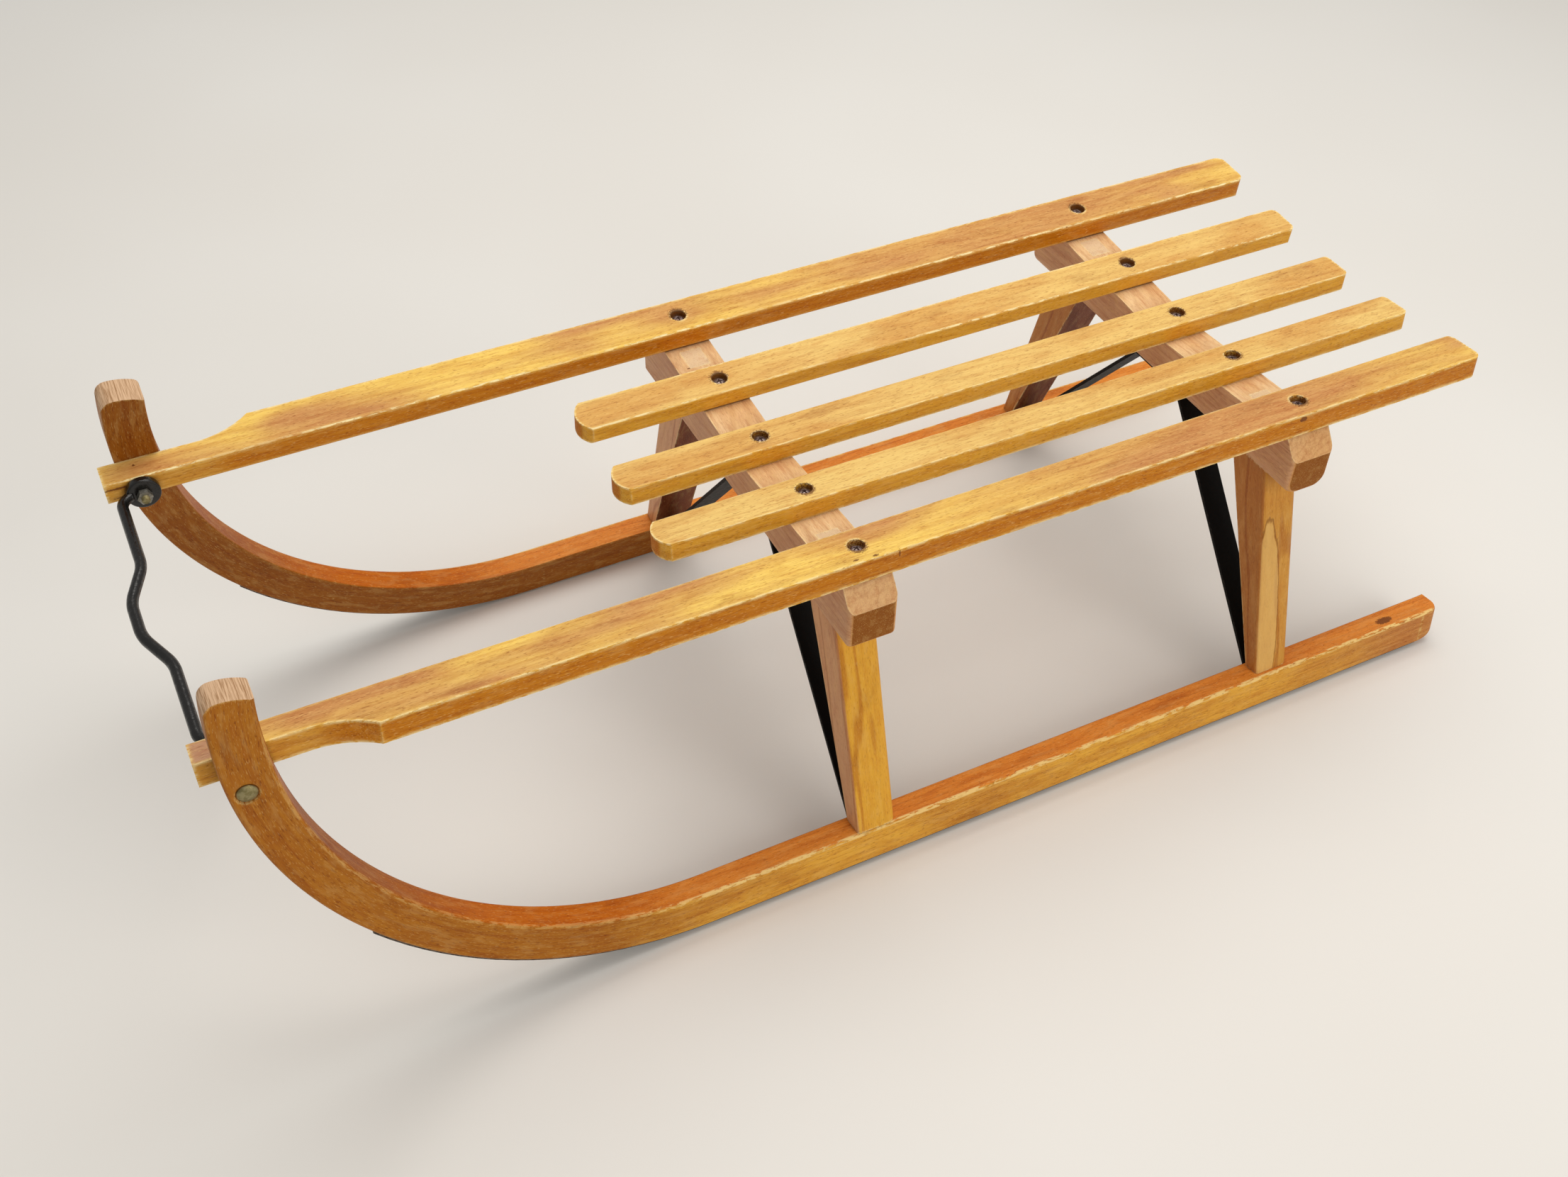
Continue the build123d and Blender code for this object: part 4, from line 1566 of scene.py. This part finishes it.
@dataclass
class SeatScrews:
    """Ten round-headed screws with cross recesses, each deep in its counterbore."""

    trestles: tuple[float, ...] = (52.8 * MM, -339.2 * MM)
    offsets: tuple[float, ...] = (-156.35 * MM, -75.6 * MM, 0.0, 75.6 * MM, 156.35 * MM)
    thicknesses: tuple[float, ...] = (18.5 * MM, 15.5 * MM, 15.5 * MM, 15.5 * MM, 18.5 * MM)
    dish_base: float = 262.1 * MM
    dish_flat: float = 16.0 * MM
    slope: float = np.radians(4.6)
    counterbore: float = 5.0 * MM
    head_radius: float = 4.6 * MM
    head_height: float = 2.4 * MM
    rim_height: float = 1.0 * MM
    shank_radius: float = 2.0 * MM
    shank_length: float = 28.0 * MM
    point_start: float = 22.4 * MM
    tip_radius: float = 0.2 * MM
    slot_half_width: float = 0.55 * MM
    slot_half_length: float = 2.5 * MM
    slot_depth: float = 1.6 * MM
    side_firmness: float = 9.0
    end_firmness: float = 6.0
    row_turn: float = 0.9
    column_turn: float = 1.7
    rings: int = 44
    around: int = 96

    def recess(self, wide: np.ndarray, far: np.ndarray) -> np.ndarray:
        """Masks one bar of the cross: the product of two smooth steps, at its side and its end.

        A step is 1 / (1 + exp(f (d - e) / w)), where d is the distance, e the edge, w the
        bar's half width and f the step's firmness.

        Args:
            wide: Distances from the bar's middle line.
            far: Distances along it.

        Returns:
            A mask that is 1 inside the bar.
        """
        past_side = (np.abs(wide) - self.slot_half_width) / self.slot_half_width
        past_end = (np.abs(far) - self.slot_half_length) / self.slot_half_width
        inside = 1 / (1 + np.exp(past_side * self.side_firmness))
        return inside / (1 + np.exp(past_end * self.end_firmness))

    def head(self, turn: float) -> tuple[np.ndarray, np.ndarray]:
        """Shapes one screw about the Z axis, with its head's underside at zero.

        The top is a dome, rim + (head - rim)(1 - (r / R)^2), less a cross: the greater of
        two bars' masks times the recess's depth.

        Args:
            turn: The cross's angle.

        Returns:
            The vertices in rings, and their quads.
        """
        radius = np.linspace(0.01, 1, self.rings)[:, None] * self.head_radius
        angle = np.linspace(0, 2 * np.pi, self.around, endpoint=False)[None, :]
        x, y = radius * np.cos(angle), radius * np.sin(angle)
        u = x * np.cos(turn) + y * np.sin(turn)
        v = y * np.cos(turn) - x * np.sin(turn)
        share = 1 - (radius / self.head_radius) ** 2
        dome = self.rim_height + (self.head_height - self.rim_height) * share
        top = dome - self.slot_depth * np.maximum(self.recess(u, v), self.recess(v, u))
        below = np.array(
            (
                (self.head_radius, 0.0),
                (self.shank_radius, 0.0),
                (self.shank_radius, -self.point_start),
                (self.tip_radius, -self.shank_length),
            )
        )
        low_x, low_y = below[:, :1] * np.cos(angle), below[:, :1] * np.sin(angle)
        low_z = below[:, 1:] * np.ones_like(low_x)
        points = np.concatenate((np.stack((x, y, top), -1), np.stack((low_x, low_y, low_z), -1)))
        return points, grid_faces(points.shape[0], self.around, closed=True)

    def build(self) -> bpy.types.Object:
        """Stands a screw on every counterbore's floor, tilted with its bar.

        Returns:
            The piece's object, at the origin.
        """
        points, faces, count = [], [], 0
        for row, trestle in enumerate(self.trestles):
            for column, (offset, thickness) in enumerate(zip(self.offsets, self.thicknesses)):
                head, quads = self.head(self.row_turn * row + self.column_turn * column)
                tilt = self.slope * np.sign(offset)
                up = np.array((0.0, -np.sin(tilt), np.cos(tilt)))
                across = np.array((0.0, np.cos(tilt), np.sin(tilt)))
                outward = max(abs(offset) - self.dish_flat, 0.0)
                seat = self.dish_base + np.tan(self.slope) * outward
                floor = np.array((trestle, offset, seat)) + up * (thickness - self.counterbore)
                axes = np.stack(((1.0, 0.0, 0.0), across, up))
                points.append(floor + head.reshape(-1, 3) @ axes)
                faces += (quads[:, ::-1] + count).tolist()
                for end in end_faces(len(head), self.around):
                    faces.append([number + count for number in end[::-1]])
                count += len(points[-1])
        return mesh_piece("cross_head_screws", np.vstack(points), faces)

    def dress(self, piece: bpy.types.Object) -> None:
        """Gives the screws their dull steel.

        Args:
            piece: The built screws.
        """
        finish = Metal("screw_steel", "a2908a", "6a5450", rust_share=0.5)
        piece.data.materials.append(finish.material())
        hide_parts("seat_screws")
        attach(piece, "sled")


def dress_node(node: bpy.types.Object, material: bpy.types.Material) -> None:
    """Puts a material in every slot of a CAD node."""
    for holder in node.material_slots:
        holder.material = material


@dataclass
class Ironwork:
    """Running strips and nuts."""

    nodes: dict[str, bpy.types.Object]
    strips: tuple[str, ...] = ("running_strip_left", "running_strip_right")
    nuts: tuple[str, ...] = ("nut_left", "nut_right")

    def dress(self) -> list[str]:
        """Gives the steel parts their finishes.

        Returns:
            The names of the dressed nodes.
        """
        strip = Metal("strip_steel", "6b6258", "3f3833", rust_share=0.5, roughness=0.45)
        nut = Metal("nut_steel", "9a978e", "77746a", rust_share=0.1)
        for names, finish in ((self.strips, strip), (self.nuts, nut)):
            material = finish.material()
            for name in names:
                dress_node(self.nodes[name], material)
        return list(self.strips + self.nuts)


@dataclass(frozen=True)
class Lamp:
    """A square area lamp: where it hangs, its side in metres, its watts and where it aims."""

    name: str
    place: Triple
    size: float
    power: float
    aim: Triple = (0.0, 0.0, 0.1)
    shade: Triple = (1.0, 0.97, 0.93)

    def hang(self) -> None:
        """Hangs the lamp, turned so that its own Z points back from what it lights."""
        data = bpy.data.lights.new(self.name, "AREA")
        data.size = self.size
        data.energy = self.power
        data.color = self.shade
        lamp = bpy.data.objects.new(self.name, data)
        start, end = np.array(self.place), np.array(self.aim)
        back = (start - end) / np.linalg.norm(start - end)
        right = np.cross((0, 0, 1), back)
        right /= np.linalg.norm(right)
        up = np.cross(back, right)
        matrix = np.eye(4)
        matrix[:3, :4] = np.stack((right, up, back, start), 1)
        lamp.matrix_world = Matrix(matrix.tolist())
        bpy.context.scene.collection.objects.link(lamp)


@dataclass
class Studio:
    """A pale floor, soft lamps and the camera."""

    floor_half: float = 30.0
    floor_shade: str = "e6e3dd"
    floor_fleck: str = "e9e7e2"
    floor_scale: float = 1.5
    floor_range: Span = (0.3, 0.7)
    floor_rough: float = 0.7
    sky: tuple[float, ...] = (1.0, 0.985, 0.96, 1.0)
    sky_strength: float = 0.42
    lamps: tuple[Lamp, ...] = (
        Lamp("ceiling_lamp", (-0.4, -0.5, 2.4), 2.0, 40.0),
        Lamp("window_lamp", (-0.7, 2.5, 1.5), 1.6, 24.0),
    )
    camera_place: Triple = (0.50407, 0.91790, 1.09792)
    camera_turn: Triple = (46.1417, -0.9637, 153.5660)
    lens: float = 38.956
    sensor: float = 36.0
    far_clip: float = 100.0

    def lay_floor(self) -> None:
        """Lays a plain floor at the runners' level."""
        half = self.floor_half
        corners = np.array([(-half, -half, 0), (half, -half, 0), (half, half, 0), (-half, half, 0)])
        floor = mesh_piece("studio_floor", corners, [[0, 1, 2, 3]])
        sheet = Sheet("studio_floor_paint")
        mottled = sheet.band(sheet.noise(sheet.place(), self.floor_scale, 2.0), *self.floor_range)
        base = sheet.blend(mottled, colour(self.floor_shade), colour(self.floor_fleck))
        sheet.paint(base, self.floor_rough)
        floor.data.materials.append(sheet.material)

    def light(self) -> None:
        """Sets an even pale world and hangs the lamps."""
        world = bpy.data.worlds.new("studio")
        world.use_nodes = True
        background = world.node_tree.nodes["Background"]
        background.inputs["Color"].default_value = self.sky
        background.inputs["Strength"].default_value = self.sky_strength
        bpy.context.scene.world = world
        for lamp in self.lamps:
            lamp.hang()

    def place_camera(self) -> None:
        """Stands the camera at the picture's point of view."""
        data = bpy.data.cameras.new("picture_camera")
        data.lens = self.lens
        data.sensor_width = self.sensor
        data.clip_end = self.far_clip
        camera = bpy.data.objects.new("picture_camera", data)
        camera.location = self.camera_place
        camera.rotation_euler = np.radians(self.camera_turn).tolist()
        bpy.context.scene.collection.objects.link(camera)
        bpy.context.scene.camera = camera


def report(maker: object, piece: bpy.types.Object) -> None:
    """Logs a built piece: its maker's class, its name and its faces."""
    maker_name = type(maker).__name__
    LOG.info("%s: built %s with %d faces", maker_name, piece.name, len(piece.data.polygons))


def main() -> None:
    """Builds, dresses and lights the sled."""
    logging.basicConfig(level=logging.INFO, format="%(name)s: %(message)s")
    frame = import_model()
    nodes = frame["nodes"]
    for assembly in (Seat(nodes), Trestles(nodes), Ironwork(nodes)):
        for name in assembly.dress():
            LOG.info("%s: dressed %s", type(assembly).__name__, name)
    bolts = CoachBolts()
    for side in Side:
        runner = Runner(side)
        piece = runner.build()
        runner.dress(piece)
        report(runner, piece)
        piece = bolts.build(side)
        bolts.dress(piece, side)
        report(bolts, piece)
    for assembly in (PullBar(), SeatScrews()):
        piece = assembly.build()
        assembly.dress(piece)
        report(assembly, piece)
    studio = Studio()
    studio.lay_floor()
    studio.light()
    studio.place_camera()
    bpy.context.scene.view_settings.view_transform = "Standard"


if __name__ == "__main__":
    main()
